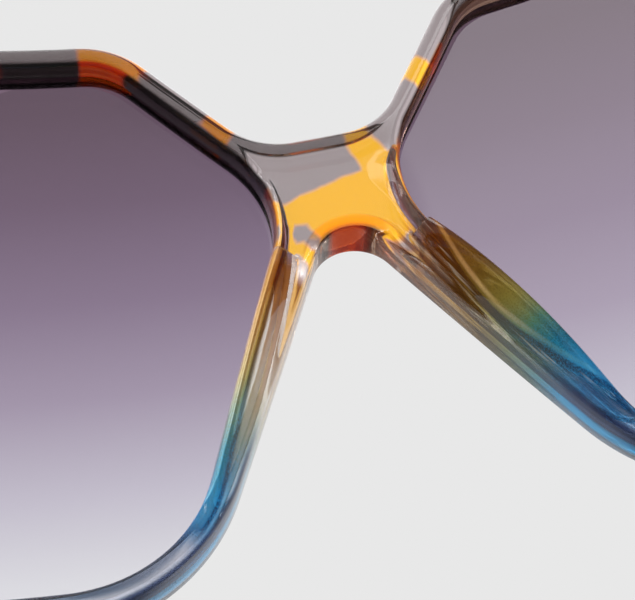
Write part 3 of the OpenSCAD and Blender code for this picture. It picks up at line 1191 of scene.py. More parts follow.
def shaded(mesh: bpy.types.Mesh, sharp: float) -> bpy.types.Mesh:
    """Shades a mesh smooth.

    Args:
        mesh: the mesh.
        sharp: angle in degrees past which an edge is drawn sharp.

    Returns:
        The same mesh.
    """
    mesh.polygons.foreach_set("use_smooth", [True] * len(mesh.polygons))
    mesh.set_sharp_from_angle(angle=math.radians(sharp))
    mesh.update()
    return mesh


def closed_mesh(
    name: str,
    points: np.ndarray,
    faces: list,
    values: dict[str, np.ndarray],
    sharp: float,
) -> bpy.types.Mesh:
    """Makes a smooth closed mesh with outward faces.

    Args:
        name: the mesh's name.
        points: corners in metres.
        faces: corner numbers of each face.
        values: float attributes, one number a corner.
        sharp: angle in degrees past which an edge is drawn sharp.

    Returns:
        The mesh.
    """
    same = 1e-8
    mesh = bpy.data.meshes.new(name)
    mesh.from_pydata([tuple(p) for p in points], [], faces)
    for title, numbers in values.items():
        mesh.attributes.new(title, "FLOAT", "POINT").data.foreach_set("value", numbers.astype(np.float32))
    work = bmesh.new()
    work.from_mesh(mesh)
    bmesh.ops.dissolve_degenerate(work, dist=same, edges=work.edges)
    bmesh.ops.recalc_face_normals(work, faces=work.faces)
    work.to_mesh(mesh)
    work.free()
    return shaded(mesh, sharp)


def link(name: str, data: Optional[bpy.types.ID]) -> bpy.types.Object:
    """Puts a new object in the scene.

    Args:
        name: the object's name.
        data: its mesh, curve, camera or lamp.

    Returns:
        The object, at the origin.
    """
    obj = bpy.data.objects.new(name, data)
    bpy.context.scene.collection.objects.link(obj)
    return obj


def piece(
    mesh: bpy.types.Mesh,
    body: str,
    stands_for: Sequence[str],
    look: bpy.types.Material,
) -> None:
    """Puts a finished mesh in the scene.

    Args:
        mesh: the piece, in place.
        body: the body it moves with.
        stands_for: the nodes it replaces.
        look: its material.
    """
    obj = link(mesh.name, mesh)
    mesh.materials.clear()
    mesh.materials.append(look)
    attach(obj, body)
    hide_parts(*stands_for)
    LOG.info("%s: %d faces on %s", obj.name, len(mesh.polygons), body)


# The front.


@dataclass
class FrontFrame:
    """The one-piece front with both rims, the bridge, the nose pads and the end pieces."""

    # The sheet, and the sharp corners of an opening above the rim.
    wrap_r: float = WRAP_R
    thickness: float = 5.2
    rim: float = 2.4
    shift_y: float = SHIFT_Y
    nose: tuple[float, float] = (4.6, 37.5)
    top_in: tuple[float, float] = (18.2, 55.3)
    top_out: tuple[float, float] = (57.5, 56.7)
    side: tuple[float, float] = (68.0, 42.0)
    low_out: tuple[float, float] = (52.0, 0.0)
    low_in: tuple[float, float] = (23.1, 0.0)
    radii: tuple[float, ...] = (12.0, 5.5, 9.0, 9.0, 14.0, 16.0)

    # The bridge, its arch and the inner lower corners.
    bridge_top: float = 43.4
    bridge_r: float = 7.0
    arch_apex: float = 36.8
    arch_r: float = 4.2
    foot_x: float = 22.4
    foot_r: float = 22.0

    # The end pieces, drawn a little inside the solid's own face.
    end_x: float = 71.9
    end_play: float = 0.03
    end_t: float = 4.4
    end_h: float = 11.0
    end_y: float = 27.0
    end_r: float = 1.6
    end_fillet: float = 2.5
    end_sharper: float = 0.65
    blend_x: float = 64.0
    blend_w: float = 2.5
    wall_run: float = 0.2

    # Radii of the edges, and the groove's depth, start and end.
    back_outer: float = 1.25
    back_inner: float = 1.0
    front_outer: float = 0.5
    front_inner: float = 0.9
    groove: tuple[float, float, float] = (0.9, 2.2, 4.14)

    # The nose pads along their legs, and the low ridge that leads into them.
    pad_start: float = 7.2
    pad_l: float = 29.5
    pad_taper: float = 16.0
    pad_peak: float = 13.5
    pad_h: float = 4.4
    pad_curve: float = 36.0
    pad_crest: float = 0.8
    pad_foot: float = 2.95
    pad_end: float = 0.6
    pad_early: float = 0.2
    pad_run: float = 0.45
    pad_bulge: float = 1.25
    pad_round: float = 1.1
    ridge_early: float = 1.5
    ridge_in: float = 2.0
    ridge_late: float = 2.0
    ridge_out: float = 2.5
    ridge_h: float = 0.7
    ridge_w: float = 0.9
    ridge_x: float = 20.0

    # How fine the mesh is: along the outlines, over the faces, down the legs and at the walls.
    step: float = 0.45
    wall_step: float = 0.06
    wall_reach: float = 0.4
    grid: float = 0.7
    hole_steps: int = 9
    row_margin: float = 1.0
    row_step: float = 0.4
    row_start: tuple[float, ...] = (-0.2, -0.08, 0.03, 0.14, 0.25)
    row_across: tuple[float, float, float] = (1.15, 3.4, 0.2)
    wall_rows: tuple[float, ...] = (-0.5, -0.22, -0.16, -0.11, -0.05, 0.01, 0.3, 1.6)
    wall_half: float = 6.5
    wall_gap: float = 0.5
    leg_clear: float = 1.3
    leg_half: float = 3.6
    wall_clear: float = 0.9

    @property
    def wall_x(self) -> float:
        """The inner face of the end pieces."""
        return self.end_x - self.end_t

    @property
    def end_middle(self) -> float:
        """The middle height of the end pieces."""
        return self.rim + self.side[1]

    def openings(self) -> list[np.ndarray]:
        """Sharp corners of the wearer's left opening."""
        corners = (self.nose, self.top_in, self.top_out, self.side, self.low_out, self.low_in)
        return [np.array([x, z + self.rim]) for x, z in corners]

    def opening(self, by: float = 0.0) -> np.ndarray:
        """Draws the left opening.

        Args:
            by: how far the outline is moved out.

        Returns:
            The outline as x and z.
        """
        corners = grown(self.openings(), by) if by else self.openings()
        line = rounded(corners, [r + by for r in self.radii], self.step)
        return densified(line, lambda p: self.step)

    def outline(self) -> np.ndarray:
        """Draws the front's outer outline.

        Returns:
            The outline as x and z, finer beside the end pieces' inner walls.
        """
        rim = grown(self.openings(), self.rim)
        high, low = self.end_middle + self.end_h / 2, self.end_middle - self.end_h / 2
        top_p, low_p = on_line(rim[2], rim[3], high), on_line(rim[3], rim[4], low)
        edge = self.end_x - self.end_play
        half = [
            on_line(rim[0], rim[1], self.rim + self.bridge_top),
            rim[1],
            rim[2],
            top_p,
            np.array([edge, high]),
            np.array([edge, low]),
            low_p,
            rim[4],
            np.array([self.foot_x, 0.0]),
        ]
        r = self.radii
        radii = [
            self.bridge_r,
            r[1] + self.rim,
            r[2] + self.rim,
            self.end_fillet,
            self.end_r,
            self.end_r,
            self.end_fillet,
            r[4] + self.rim,
            self.foot_r,
        ]
        corners = half + [np.array([0.0, self.rim + self.arch_apex])] + [p * MIRROR for p in half[::-1]]
        return densified(rounded(corners, radii + [self.arch_r] + radii[::-1], self.step), self.step_at)

    def step_at(self, point: np.ndarray) -> float:
        """The longest step of the outline at a point."""
        return self.wall_step if abs(abs(point[0]) - self.wall_x) < self.wall_reach else self.step

    def place(self, flat: np.ndarray, depth: np.ndarray) -> np.ndarray:
        """Puts points on the curved sheet.

        Args:
            flat: points as x and z.
            depth: how far in front of the back face they lie.

        Returns:
            The points in the frame.
        """
        x = flat[:, 0]
        y = self.wrap_r - np.sqrt((self.wrap_r + depth) ** 2 - x**2) + self.shift_y
        return np.stack([x, y, flat[:, 1]], 1)

    def back_y(self, x: np.ndarray) -> np.ndarray:
        """The back face from the bridge's own back face."""
        return self.wrap_r - np.sqrt(self.wrap_r**2 - x**2)

    def leg_frame(self) -> tuple[np.ndarray, np.ndarray]:
        """The nose point and the direction down the leg, on the left."""
        nose, low = self.openings()[0], self.openings()[5]
        return nose, unit(low - nose)

    def leg_place(self, flat: np.ndarray) -> tuple[np.ndarray, np.ndarray]:
        """Places points by the leg of their own side.

        Args:
            flat: points as x and z.

        Returns:
            How far down the leg and how far across it each lies.
        """
        nose, down = self.leg_frame()
        x, z = np.abs(flat[:, 0]) - nose[0], flat[:, 1] - nose[1]
        return x * down[0] + z * down[1], x * down[1] - z * down[0]

    def lift(self, flat: np.ndarray, gap: np.ndarray) -> np.ndarray:
        """Works out how far the pads and end pieces stand behind the sheet's back face.

        Args:
            flat: points as x and z.
            gap: their distance to the nearest opening.

        Returns:
            The height of each point.
        """
        x = np.abs(flat[:, 0])
        along, _ = self.leg_place(flat)
        past = along - self.pad_start
        curve = np.sqrt(np.maximum(self.pad_curve**2 - (past - self.pad_peak) ** 2, 0))
        height = np.maximum(self.pad_h - self.pad_curve + curve - self.back_y(x), 0)
        height *= smooth((past + self.pad_early) / self.pad_run) * (past < self.pad_l)
        narrow = np.clip((past - self.pad_taper) / (self.pad_l - self.pad_taper), 0, 1)
        foot = self.pad_foot - narrow * (self.pad_foot - self.pad_crest - self.pad_end)
        rise = np.sqrt(1 - np.clip(1 - gap / self.pad_crest, 0, 1) ** 2)
        fall = np.clip((gap - self.pad_crest) / (foot - self.pad_crest), 0, 1)
        pad = height * rise * (1 - fall**self.pad_bulge) ** self.pad_round
        ridge = smooth((along + self.ridge_early) / self.ridge_in)
        ridge *= smooth((self.pad_start + self.ridge_late - along) / self.ridge_out)
        side = 1 - np.clip((gap - self.pad_crest) / self.ridge_w, 0, 1)
        ridge = self.ridge_h * ridge * rise * side * (x < self.ridge_x)
        end = smooth((x - (self.wall_x - self.wall_run)) / self.wall_run)
        return np.maximum(np.maximum(pad, ridge), end * (self.end_y - self.back_y(x)))

    def extra_points(self) -> np.ndarray:
        """Puts points on the back face where the pads and the end pieces' inner walls stand up.

        Returns:
            The points of both sides.
        """
        nose, down = self.leg_frame()
        over = np.array([down[1], -down[0]])
        rows = list(np.arange(-self.row_margin, self.pad_start + self.pad_l + self.row_margin, self.row_step))
        rows += [self.pad_start + past for past in self.row_start]
        acrosses = np.arange(*self.row_across)
        out = [nose + down * along + over * across for along in rows for across in acrosses]
        low, high = self.end_middle - self.wall_half, self.end_middle + self.wall_half
        heights = np.arange(low, high + TINY, self.wall_gap)
        out += [np.array([self.wall_x + past, z]) for past in self.wall_rows for z in heights]
        points = np.array(out)
        return np.vstack([points, points * MIRROR])

    def keep(self, flat: np.ndarray) -> np.ndarray:
        """Chooses the grid points of the back face.

        Args:
            flat: grid points as x and z.

        Returns:
            True for each that lies clear of the extra points.
        """
        along, across = self.leg_place(flat)
        leg = (along > -self.leg_clear) & (along < self.pad_start + self.pad_l + self.leg_clear)
        leg &= np.abs(across) < self.leg_half
        return ~leg & (np.abs(flat[:, 0]) < self.wall_x - self.wall_clear)

    def radius_share(self, points: np.ndarray) -> np.ndarray:
        """The outer edges' radius is smaller on the end pieces."""
        return 1 - self.end_sharper * smooth((np.abs(points[:, 0]) - self.blend_x) / self.blend_w)

    def build(self, look: bpy.types.Material) -> None:
        """Makes the front.

        Args:
            look: the front's material.
        """
        hole = self.opening()
        slab = Slab(
            self.outline(),
            EdgeShape(self.back_outer, self.front_outer, self.thickness),
            (hole, hole * MIRROR),
            EdgeShape(self.back_inner, self.front_inner, self.thickness, self.groove, self.hole_steps),
            self.radius_share,
            self.grid,
            self.extra_points(),
            self.keep,
        )
        mesh = slab.mesh("front", self.place, self.lift)
        piece(mesh, "front", ["front_frame"], look)


@dataclass
class Lenses:
    """The two lenses, snapped into the front's grooves."""

    front: FrontFrame
    sink: float = 0.83
    start: float = 2.27
    thickness: float = 1.8
    bevel: float = 0.15
    steps: int = 3
    grid: float = 1.6
    sharp: float = 60.0

    def place(self, flat: np.ndarray, depth: np.ndarray) -> np.ndarray:
        """Points of a lens at a depth in front of its back face."""
        return self.front.place(flat, depth + self.start)

    def build(self, look: bpy.types.Material) -> None:
        """Makes both lenses.

        Args:
            look: the lenses' material.
        """
        edge = EdgeShape(self.bevel, self.bevel, self.thickness, steps=self.steps)
        for side in Side:
            line = self.front.opening(self.sink) * np.array([side.value, 1.0])
            slab = Slab(line, edge, grid=self.grid)
            mesh = slab.mesh(f"lens_{side.tag}_glass", self.place, sharp=self.sharp)
            piece(mesh, "front", [f"lens_{side.tag}"], look)


# Temples.


@dataclass
class Temples:
    """The two side arms with their wire cores."""

    # The arm's place and width, drawn a little inside the solid's outer face.
    mid_x: float = 69.7
    width: float = 4.4
    play: float = 0.03
    shift_y: float = SHIFT_Y
    butt_y: float = 27.3
    end_z: float = END_Z
    straight_l: float = 88.0
    straight_drop: float = 12.0
    bend_l: float = 20.0
    bend_drop: float = 8.5
    tail_l: float = 24.0
    height: float = 11.0
    waist: float = 7.0
    tip_h: float = 9.0
    thin: float = 0.86
    thin_start: float = 16.0
    thin_run: float = 60.0

    # Radius of the long edges, and how much of it the butt face keeps.
    edge: float = 1.25
    butt_r: float = 0.5
    butt_share: float = 0.22
    butt_run: float = 2.5

    # The wire core.
    core_t: float = 0.96
    core_h: float = 1.76
    core_start: float = 0.8
    core_short: float = 9.0

    # How fine the mesh is.
    straight_n: int = 60
    bend_n: int = 24
    tail_n: int = 30
    cap_n: int = 26
    round_step: float = 0.15
    step: float = 0.5
    grid: float = 1.2

    def centre_line(self) -> tuple[np.ndarray, np.ndarray]:
        """Follows the arm from its butt face to its tip.

        Returns:
            The centre line as y and z, and the arm's height at each of its points.
        """
        slope = self.straight_drop / self.straight_l
        start = np.array([self.butt_y, self.end_z])
        a = start + np.array([self.straight_l, -self.straight_drop])
        m = a + np.array([self.bend_l / 2, -self.bend_l / 2 * slope])
        b = a + np.array([self.bend_l, -self.bend_drop])
        tip = np.array([b[0] + self.tail_l, self.tip_h / 2])
        s, t = (np.linspace(0, 1, n, endpoint=False)[:, None] for n in (self.straight_n, self.bend_n))
        u = np.linspace(0, 1, self.tail_n)[:, None]
        bend = a * (1 - t) ** 2 + m * 2 * t * (1 - t) + b * t * t
        line = np.vstack([start + (a - start) * s, bend, b + (tip - b) * u])
        falling = self.height + (self.waist - self.height) * s
        rising = self.waist + (self.tip_h - self.waist) * u
        return line, np.vstack([falling, np.full_like(t, self.waist), rising])[:, 0]

    def outline(self) -> np.ndarray:
        """Draws the arm's side view.

        Returns:
            The outline as y and z, with a round tip.
        """
        line, heights = self.centre_line()
        ahead = np.gradient(line, axis=0)
        ahead /= np.hypot(ahead[:, 0], ahead[:, 1])[:, None]
        ahead[0] = (1.0, 0.0)
        up = np.stack([-ahead[:, 1], ahead[:, 0]], 1)
        top, low = line + up * heights[:, None] / 2, line - up * heights[:, None] / 2
        start = math.atan2(up[-1][1], up[-1][0])
        turns = np.linspace(start, start - math.pi, self.cap_n)[1:-1]
        cap = [line[-1] + self.tip_h / 2 * np.array([math.cos(t), math.sin(t)]) for t in turns]
        corners = list(np.vstack([top, cap, low[::-1]]))
        radii = [self.butt_r] + [0.0] * (len(corners) - 2) + [self.butt_r]
        return densified(rounded(corners, radii, self.round_step), lambda p: self.step)

    def place(self, flat: np.ndarray, depth: np.ndarray, sign: int) -> np.ndarray:
        """Puts points on an arm.

        Args:
            flat: points of the side view as y and z.
            depth: how far outside the inner face they lie.
            sign: 1 for the wearer's left, and -1 for the right.

        Returns:
            The points in the frame.
        """
        y = flat[:, 0]
        squeeze = 1 - (1 - self.thin) * smooth((y - self.butt_y - self.thin_start) / self.thin_run)
        x = self.mid_x - self.play / 2 + (depth - (self.width - self.play) / 2) * squeeze
        return np.stack([sign * x, y + self.shift_y, flat[:, 1]], 1)

    def radius_share(self, points: np.ndarray) -> np.ndarray:
        """The butt face has nearly sharp edges."""
        past = points[:, 0] - self.butt_y - self.butt_r
        return self.butt_share + (1 - self.butt_share) * smooth(past / self.butt_run)

    def build(self, look: bpy.types.Material, wire: bpy.types.Material) -> None:
        """Makes both arms and both wires.

        Args:
            look: the arms' material.
            wire: the wires' material.
        """
        edge = EdgeShape(self.edge, self.edge, self.width - self.play)
        for side in Side:
            slab = Slab(self.outline(), edge, radius_at=self.radius_share, grid=self.grid)
            mesh = slab.mesh(f"temple_{side.tag}_arm", lambda p, d: self.place(p, d, side.value))
            piece(mesh, f"temple_{side.tag}", [f"temple_{side.tag}"], look)
            self._wire(side, wire)

    def _wire(self, side: Side, look: bpy.types.Material) -> None:
        """Makes one notched wire core along the arm.

        Args:
            side: the arm's side.
            look: the wire's material.
        """
        line, _ = self.centre_line()
        run = np.concatenate([[0], np.cumsum(np.hypot(*np.diff(line, axis=0).T))])
        keep = (run > self.core_start) & (run < run[-1] - self.core_short)
        points = [Vector((side.value * self.mid_x, p[0] + self.shift_y, p[1])) * MM for p in line[keep]]
        curve = bpy.data.curves.new(f"wire_{side.tag}", "CURVE")
        curve.dimensions = "3D"
        spline = curve.splines.new("POLY")
        spline.points.add(len(points) - 1)
        for point, place in zip(spline.points, points):
            point.co = (*place, 1.0)
        tree = WireTree().build()
        sizes = {"Width": self.core_t * MM, "Height": self.core_h * MM, "Material": look}
        mesh = grown_mesh(f"core_{side.tag}_wire", curve, tree, sizes)
        piece(mesh, f"temple_{side.tag}", [f"temple_core_{side.tag}"], look)


# Geometry nodes.


FLOAT, VECTOR, MATERIAL = "NodeSocketFloat", "NodeSocketVector", "NodeSocketMaterial"
Value = Union[bpy.types.NodeSocket, float, bool]
Given = dict[str, tuple[str, Optional[float]]]


class Tree:
    """Builds a Geometry Nodes tree with named inputs."""

    def __init__(self, name: str, inputs: Given, takes_geometry: bool) -> None:
        """Makes the tree, its group input and its output.

        Args:
            name: the tree's name.
            inputs: type and first value of each named input.
            takes_geometry: whether it starts from the object's own geometry.
        """
        self.tree = bpy.data.node_groups.new(name, "GeometryNodeTree")
        face = self.tree.interface
        if takes_geometry:
            face.new_socket("Geometry", in_out="INPUT", socket_type="NodeSocketGeometry")
        for title, (kind, value) in inputs.items():
            socket = face.new_socket(title, in_out="INPUT", socket_type=kind)
            if value is not None:
                socket.default_value = value
        face.new_socket("Geometry", in_out="OUTPUT", socket_type="NodeSocketGeometry")
        self.given = self.node("NodeGroupInput").node

    def get(self, title: str) -> bpy.types.NodeSocket:
        """A named input of the tree."""
        return self.given.outputs[title]

    def node(
        self,
        kind: str,
        settings: Optional[dict] = None,
        inputs: Optional[dict] = None,
        out: Union[int, str] = 0,
    ) -> Optional[bpy.types.NodeSocket]:
        """Adds a node.

        Args:
            kind: the node's type.
            settings: its properties.
            inputs: a value, a link or a list of links by socket name or number.
            out: the output that is handed back.

        Returns:
            The chosen output, or nothing when the node has none.
        """
        made = self.tree.nodes.new(kind)
        for name, value in (settings or {}).items():
            setattr(made, name, value)
        for name, value in (inputs or {}).items():
            for item in value if isinstance(value, list) else [value]:
                if isinstance(item, bpy.types.NodeSocket):
                    self.tree.links.new(item, made.inputs[name])
                else:
                    made.inputs[name].default_value = item
        return made.outputs[out] if made.outputs else None

    def math(self, operation: str, *values: Value) -> bpy.types.NodeSocket:
        """One Math node."""
        return self.node("ShaderNodeMath", {"operation": operation}, dict(enumerate(values)))

    def finish(self, geometry: bpy.types.NodeSocket) -> bpy.types.NodeTree:
        """Ends the tree in Realize Instances and Set Material.

        Args:
            geometry: the tree's result.

        Returns:
            The finished tree.
        """
        real = self.node("GeometryNodeRealizeInstances", {}, {"Geometry": geometry})
        inputs = {"Geometry": real, "Material": self.get("Material")}
        self.node("NodeGroupOutput", {}, {"Geometry": self.node("GeometryNodeSetMaterial", {}, inputs)})
        return self.tree


def grown_mesh(
    name: str,
    data: bpy.types.ID,
    tree: bpy.types.NodeTree,
    values: dict[str, object],
    sharp: float = 35.0,
) -> bpy.types.Mesh:
    """Runs a tree on an object and keeps the result as a plain mesh.

    Args:
        name: the new mesh's name.
        data: the mesh or curve that the tree starts from.
        tree: the Geometry Nodes tree.
        values: the tree's inputs by name.
        sharp: angle in degrees past which an edge is drawn sharp.

    Returns:
        The mesh.
    """
    obj = link(name + "_seed", data)
    modifier = obj.modifiers.new("shape", "NODES")
    modifier.node_group = tree
    for item in tree.interface.items_tree:
        if item.item_type == "SOCKET" and item.in_out == "INPUT" and item.name in values:
            modifier[item.identifier] = values[item.name]
    bpy.context.view_layer.update()
    graph = bpy.context.evaluated_depsgraph_get()
    mesh = bpy.data.meshes.new_from_object(obj.evaluated_get(graph))
    mesh.name = name
    obj.modifiers.clear()
    bpy.data.objects.remove(obj)
    return shaded(mesh, sharp)


@dataclass(frozen=True)
class WireTree:
    """A flat wire along a curve, with a shallow notch at every pitch. Lengths are in metres."""

    name: str = "notched_wire"
    width: float = 0.001
    height: float = 0.0018
    pitch: float = 0.0016
    notch: float = 0.12
    steps: float = 4.0
    notch_share: float = 0.3
    corner_r: float = 0.0002
    corner_n: int = 3

    def build(self) -> bpy.types.NodeTree:
        """Makes the tree.

        Returns:
            The tree, whose named inputs start at the fields' values.
        """
        inputs = {
            "Width": (FLOAT, self.width),
            "Height": (FLOAT, self.height),
            "Pitch": (FLOAT, self.pitch),
            "Notch": (FLOAT, self.notch),
            "Material": (MATERIAL, None),
        }
        tree = Tree(self.name, inputs, True)
        pitch = tree.get("Pitch")
        sizes = {"Curve": tree.get("Geometry"), "Length": tree.math("DIVIDE", pitch, self.steps)}
        fine = tree.node("GeometryNodeResampleCurve", {"mode": "LENGTH"}, sizes)
        run = tree.node("GeometryNodeSplineParameter", out="Length")
        phase = tree.math("FRACT", tree.math("DIVIDE", run, pitch))
        notch = tree.math("MULTIPLY", tree.math("LESS_THAN", phase, self.notch_share), tree.get("Notch"))
        radius = tree.math("SUBTRACT", 1.0, notch)
        sizes = {"Width": tree.get("Width"), "Height": tree.get("Height")}
        profile = tree.node("GeometryNodeCurvePrimitiveQuadrilateral", {"mode": "RECTANGLE"}, sizes)
        sizes = {"Curve": profile, "Radius": self.corner_r, "Count": self.corner_n}
        soft = tree.node("GeometryNodeFilletCurve", {"mode": "POLY"}, sizes)
        sizes = {"Curve": fine, "Profile Curve": soft, "Scale": radius, "Fill Caps": True}
        return tree.finish(tree.node("GeometryNodeCurveToMesh", {}, sizes))


@dataclass(frozen=True)
class RivetTree:
    """A row of rivets along X: domed head on the plate, shank and flush head. Lengths are in metres."""

    name: str = "rivet_row"
    shank: float = 0.0007
    head: float = 0.0011
    dome: float = 0.0005
    plate: float = 0.001
    depth: float = 0.0044
    sink: float = 0.0008
    segments: int = 32
    rings: int = 16
    sides: int = 40
    count: int = 2

    def build(self) -> bpy.types.NodeTree:
        """Makes the tree.

        Returns:
            The tree, whose named inputs start at the fields' values.
        """
        inputs = {
            "Start": (VECTOR, None),
            "Step": (VECTOR, None),
            "Shank": (FLOAT, self.shank),
            "Head": (FLOAT, self.head),
            "Dome": (FLOAT, self.dome),
            "Plate": (FLOAT, self.plate),
            "Depth": (FLOAT, self.depth),
            "Sink": (FLOAT, self.sink),
            "Turn": (FLOAT, 0.0),
            "Material": (MATERIAL, None),
        }
        tree = Tree(self.name, inputs, False)
        plate, depth, dome = tree.get("Plate"), tree.get("Depth"), tree.get("Dome")
        sizes = {"Segments": self.segments, "Rings": self.rings, "Radius": 1.0}
        ball = tree.node("GeometryNodeMeshUVSphere", {}, sizes)
        flat = tree.node("ShaderNodeCombineXYZ", {}, {0: tree.get("Head"), 1: tree.get("Head"), 2: dome})
        at = tree.node("ShaderNodeCombineXYZ", {}, {2: tree.math("MULTIPLY", plate, -1.0)})
        head = tree.node("GeometryNodeTransform", {}, {"Geometry": ball, "Translation": at, "Scale": flat})
        sink = tree.get("Sink")
        flush_z = tree.math("SUBTRACT", depth, tree.math("MULTIPLY", sink, 0.5))
        length = tree.math("ADD", plate, flush_z)
        shank_z = tree.math("MULTIPLY", tree.math("SUBTRACT", flush_z, plate), 0.5)
        shank = self._pin(tree, tree.get("Shank"), length, shank_z)
        flush = self._pin(tree, tree.get("Head"), sink, flush_z)
        joined = tree.node("GeometryNodeJoinGeometry", {}, {"Geometry": [head, shank, flush]})
        sizes = {"Count": self.count, "Start Location": tree.get("Start"), "Offset": tree.get("Step")}
        row = tree.node("GeometryNodeMeshLine", {}, sizes)
        turn = tree.node("ShaderNodeCombineXYZ", {}, {1: tree.get("Turn")})
        places = {"Points": row, "Instance": joined, "Rotation": turn}
        return tree.finish(tree.node("GeometryNodeInstanceOnPoints", {}, places))

    def _pin(self, tree: Tree, radius: Value, length: Value, middle: Value) -> bpy.types.NodeSocket:
        """Makes a cylinder along the rivet.

        Args:
            tree: the tree.
            radius: the cylinder's radius.
            length: its length.
            middle: the place of its middle.

        Returns:
            The cylinder.
        """
        sizes = {"Vertices": self.sides, "Radius": radius, "Depth": length}
        pin = tree.node("GeometryNodeMeshCylinder", {}, sizes)
        at = tree.node("ShaderNodeCombineXYZ", {}, {2: middle})
        return tree.node("GeometryNodeTransform", {}, {"Geometry": pin, "Translation": at})


@dataclass(frozen=True)
class RivetPair:
    """Where the two rivets of a hinge plate sit: their middle along Y, and half their distance in Y and Z."""

    where: str
    y: float
    half_y: float
    half_z: float

    def body(self, side: Side) -> str:
        """The body that the pair moves with."""
        return "front" if self.where == "front" else f"temple_{side.tag}"


@dataclass
class Hardware:
    """Hinges, screws and rivets."""

    nodes: dict[str, bpy.types.Object]
    inner_x: float = INNER_X
    end_z: float = END_Z
    pairs: tuple[RivetPair, ...] = (
        RivetPair("front", -55.8, 0.0, 2.3),
        RivetPair("temple", -44.0, 2.3, 2.6),
    )

    def build(self, plate: bpy.types.Material, brass: bpy.types.Material) -> None:
        """Dresses the hinge leaves and the screws, and makes the rivets.

        Args:
            plate: the leaves' material.
            brass: the material of the screws and the rivets.
        """
        tree = RivetTree().build()
        for side in Side:
            self._dress(f"front_hinge_leaf_{side.tag}", plate)
            self._dress(f"temple_hinge_leaf_{side.tag}", plate)
            self._dress(f"hinge_screw_{side.tag}", brass)
            for pair in self.pairs:
                self._rivets(side, pair, tree, brass)

    def _dress(self, node: str, look: bpy.types.Material) -> None:
        """Gives a loaded node its material.

        Args:
            node: the node's name.
            look: the material.
        """
        obj = self.nodes[node]
        for slot in obj.material_slots:
            slot.material = look
        if not obj.material_slots:
            obj.data.materials.append(look)
        LOG.info("%s dressed", node)

    def _rivets(
        self,
        side: Side,
        pair: RivetPair,
        tree: bpy.types.NodeTree,
        look: bpy.types.Material,
    ) -> None:
        """Makes the two rivets of one hinge plate.

        Args:
            side: the plate's side.
            pair: where the rivets sit.
            tree: the tree that makes a row of rivets.
            look: their material.
        """
        start = Vector((side.value * self.inner_x, pair.y - pair.half_y, self.end_z - pair.half_z)) * MM
        step = Vector((0.0, 2 * pair.half_y, 2 * pair.half_z)) * MM
        values = {"Start": start, "Step": step, "Turn": side.value * math.pi / 2, "Material": look}
        mesh = grown_mesh(f"rivets_{pair.where}_{side.tag}", bpy.data.meshes.new("seed"), tree, values)
        piece(mesh, pair.body(side), [f"{pair.where}_rivets_{side.tag}"], look)


# Studio.


@dataclass(frozen=True)
class Lamp:
    """A soft square lamp: its place and side in metres, and its power in watts."""

    name: str
    at: tuple[float, float, float]
    size: float
    power: float


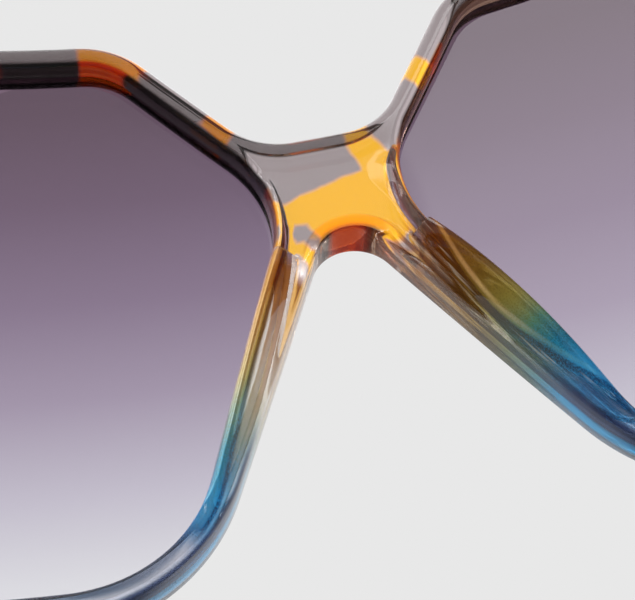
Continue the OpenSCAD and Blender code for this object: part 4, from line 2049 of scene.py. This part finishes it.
@dataclass
class Studio:
    """Camera, lamps, backdrop and floor."""

    # The camera's place in millimetres, its axes, and its lens.
    place: tuple[float, float, float] = (40.22, 99.27, -77.21)
    right: tuple[float, float, float] = (-0.96669, 0.04367, -0.25219)
    up: tuple[float, float, float] = (-0.19267, 0.52445, 0.82936)
    back: tuple[float, float, float] = (0.16848, 0.85032, -0.49857)
    lens: float = 129.585
    sensor: float = 36.0
    clip: Span = (0.005, 20.0)

    # How bright the world is: seen by the camera, through the plastic, in mirrors, and as plain light.
    backdrop: float = 0.807
    seen: float = 1.137
    seen_behind: float = 0.73
    room: float = 0.4
    screen: float = 2.95
    fill: float = 0.55

    # Where it changes, as parts of a direction.
    ahead_y: Span = (0.35, 0.0)
    under_z: Span = (-0.15, -0.4)
    under_loss: float = 0.85
    screen_right: Span = (-0.140, -0.110)
    screen_left: Span = (0.42, 0.30)
    screen_low: Span = (0.40, 0.54)
    screen_high: Span = (0.72, 0.64)
    screen_near: Span = (0.1, 0.3)

    # The floor, and the lamps with the point at which they aim, in metres.
    floor_r: float = 1.5
    floor_z: float = -0.0002
    floor_grey: float = 0.8
    floor_hidden: float = 0.8
    lamps: tuple[Lamp, ...] = (
        Lamp("key", (0.55, 0.50, 0.75), 0.45, 2.6),
        Lamp("top", (-0.1, -0.5, 0.9), 0.9, 1.3),
    )
    aim: tuple[float, float, float] = (0.0, -0.07, 0.03)

    def build(self) -> None:
        """Makes the whole studio."""
        self._camera()
        self._world()
        self._floor()
        for lamp in self.lamps:
            self._lamp(lamp)

    def _camera(self) -> None:
        """The camera behind and below the bridge."""
        data = bpy.data.cameras.new("camera")
        data.lens = self.lens
        data.sensor_width = self.sensor
        data.sensor_fit = "HORIZONTAL"
        data.clip_start, data.clip_end = self.clip
        obj = link("camera", data)
        axes = Matrix((self.right, self.up, self.back)).transposed().to_4x4()
        obj.matrix_world = Matrix.Translation(Vector(self.place) * MM) @ axes
        bpy.context.scene.camera = obj

    def _world(self) -> None:
        """Plain light all round, a pale backdrop ahead, and a soft screen behind that the lenses mirror."""
        world = bpy.data.worlds.new("studio")
        bpy.context.scene.world = world
        world.use_nodes = True
        sh = Shader(world.node_tree)
        camera, glossy, through = (sh.ray(kind) for kind in ("Camera", "Glossy", "Transmission"))
        x, y, z = sh.parts(sh.node("ShaderNodeTexCoord", out="Generated"))
        ahead = y.ease(*self.ahead_y)
        room = between(ahead, self.room, self.backdrop) * (1 - z.ease(*self.under_z) * self.under_loss)
        screen = x.ease(*self.screen_right) * x.ease(*self.screen_left) * z.ease(*self.screen_low)
        screen = screen * z.ease(*self.screen_high) * y.ease(*self.screen_near)
        mirrored = room + screen * (self.screen - self.room)
        seen = between(ahead, self.seen_behind, self.seen)
        strength = self.fill + camera * (self.backdrop - self.fill) + through * (seen - self.fill)
        strength = strength + glossy * (1 - through) * (mirrored - self.fill)
        surface = sh.node("ShaderNodeBackground", {}, {"Color": (1.0, 1.0, 1.0), "Strength": strength})
        sh.finish(surface, "ShaderNodeOutputWorld")

    def _floor(self) -> None:
        """A pale floor that is seen from above only."""
        mesh = bpy.data.meshes.new("floor")
        signs = ((-1, -1), (1, -1), (1, 1), (-1, 1))
        corners = [(x * self.floor_r, y * self.floor_r, self.floor_z) for x, y in signs]
        mesh.from_pydata(corners, [], [range(len(corners))])
        material, sh = new_material("floor")
        back = sh.node("ShaderNodeNewGeometry", out="Backfacing")
        hidden = sh.ray("Glossy") * (1 - sh.ray("Transmission")) * self.floor_hidden
        pale = sh.node("ShaderNodeBsdfDiffuse", {}, {"Color": (self.floor_grey,) * 3})
        through = sh.node("ShaderNodeBsdfTransparent")
        sh.finish(sh.blend(back.higher(hidden), pale, through))
        mesh.materials.append(material)
        obj = link("floor", mesh)

    def _lamp(self, lamp: Lamp) -> None:
        """Hangs a lamp and aims it at the front.

        Args:
            lamp: the lamp.
        """
        data = bpy.data.lights.new(lamp.name, "AREA")
        data.shape = "SQUARE"
        data.size = lamp.size
        data.energy = lamp.power
        obj = link(lamp.name, data)
        place = Vector(lamp.at)
        turn = (Vector(self.aim) - place).to_track_quat("-Z", "Y")
        obj.matrix_world = Matrix.Translation(place) @ turn.to_matrix().to_4x4()


# Main.


def main() -> None:
    """Builds the sunglasses and the studio."""
    logging.basicConfig(level=logging.INFO, format="%(message)s")
    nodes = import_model()["nodes"]
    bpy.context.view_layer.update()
    bpy.context.scene.view_settings.view_transform = "Standard"
    plastic = SheetPlastic().build()
    smoke = LensTint().build()
    plate = Metal("hinge_plate", (0.72, 0.71, 0.70)).build()
    brass = Metal("pale_brass", (0.80, 0.66, 0.42), 0.22).build()
    wire = Metal("core_wire", (0.70, 0.70, 0.72), 0.32).build()
    front = FrontFrame()
    front.build(plastic)
    Lenses(front).build(smoke)
    Temples().build(ArmPlastic().build(), wire)
    Hardware(nodes).build(plate, brass)
    Studio().build()


if __name__ == "__main__":
    main()
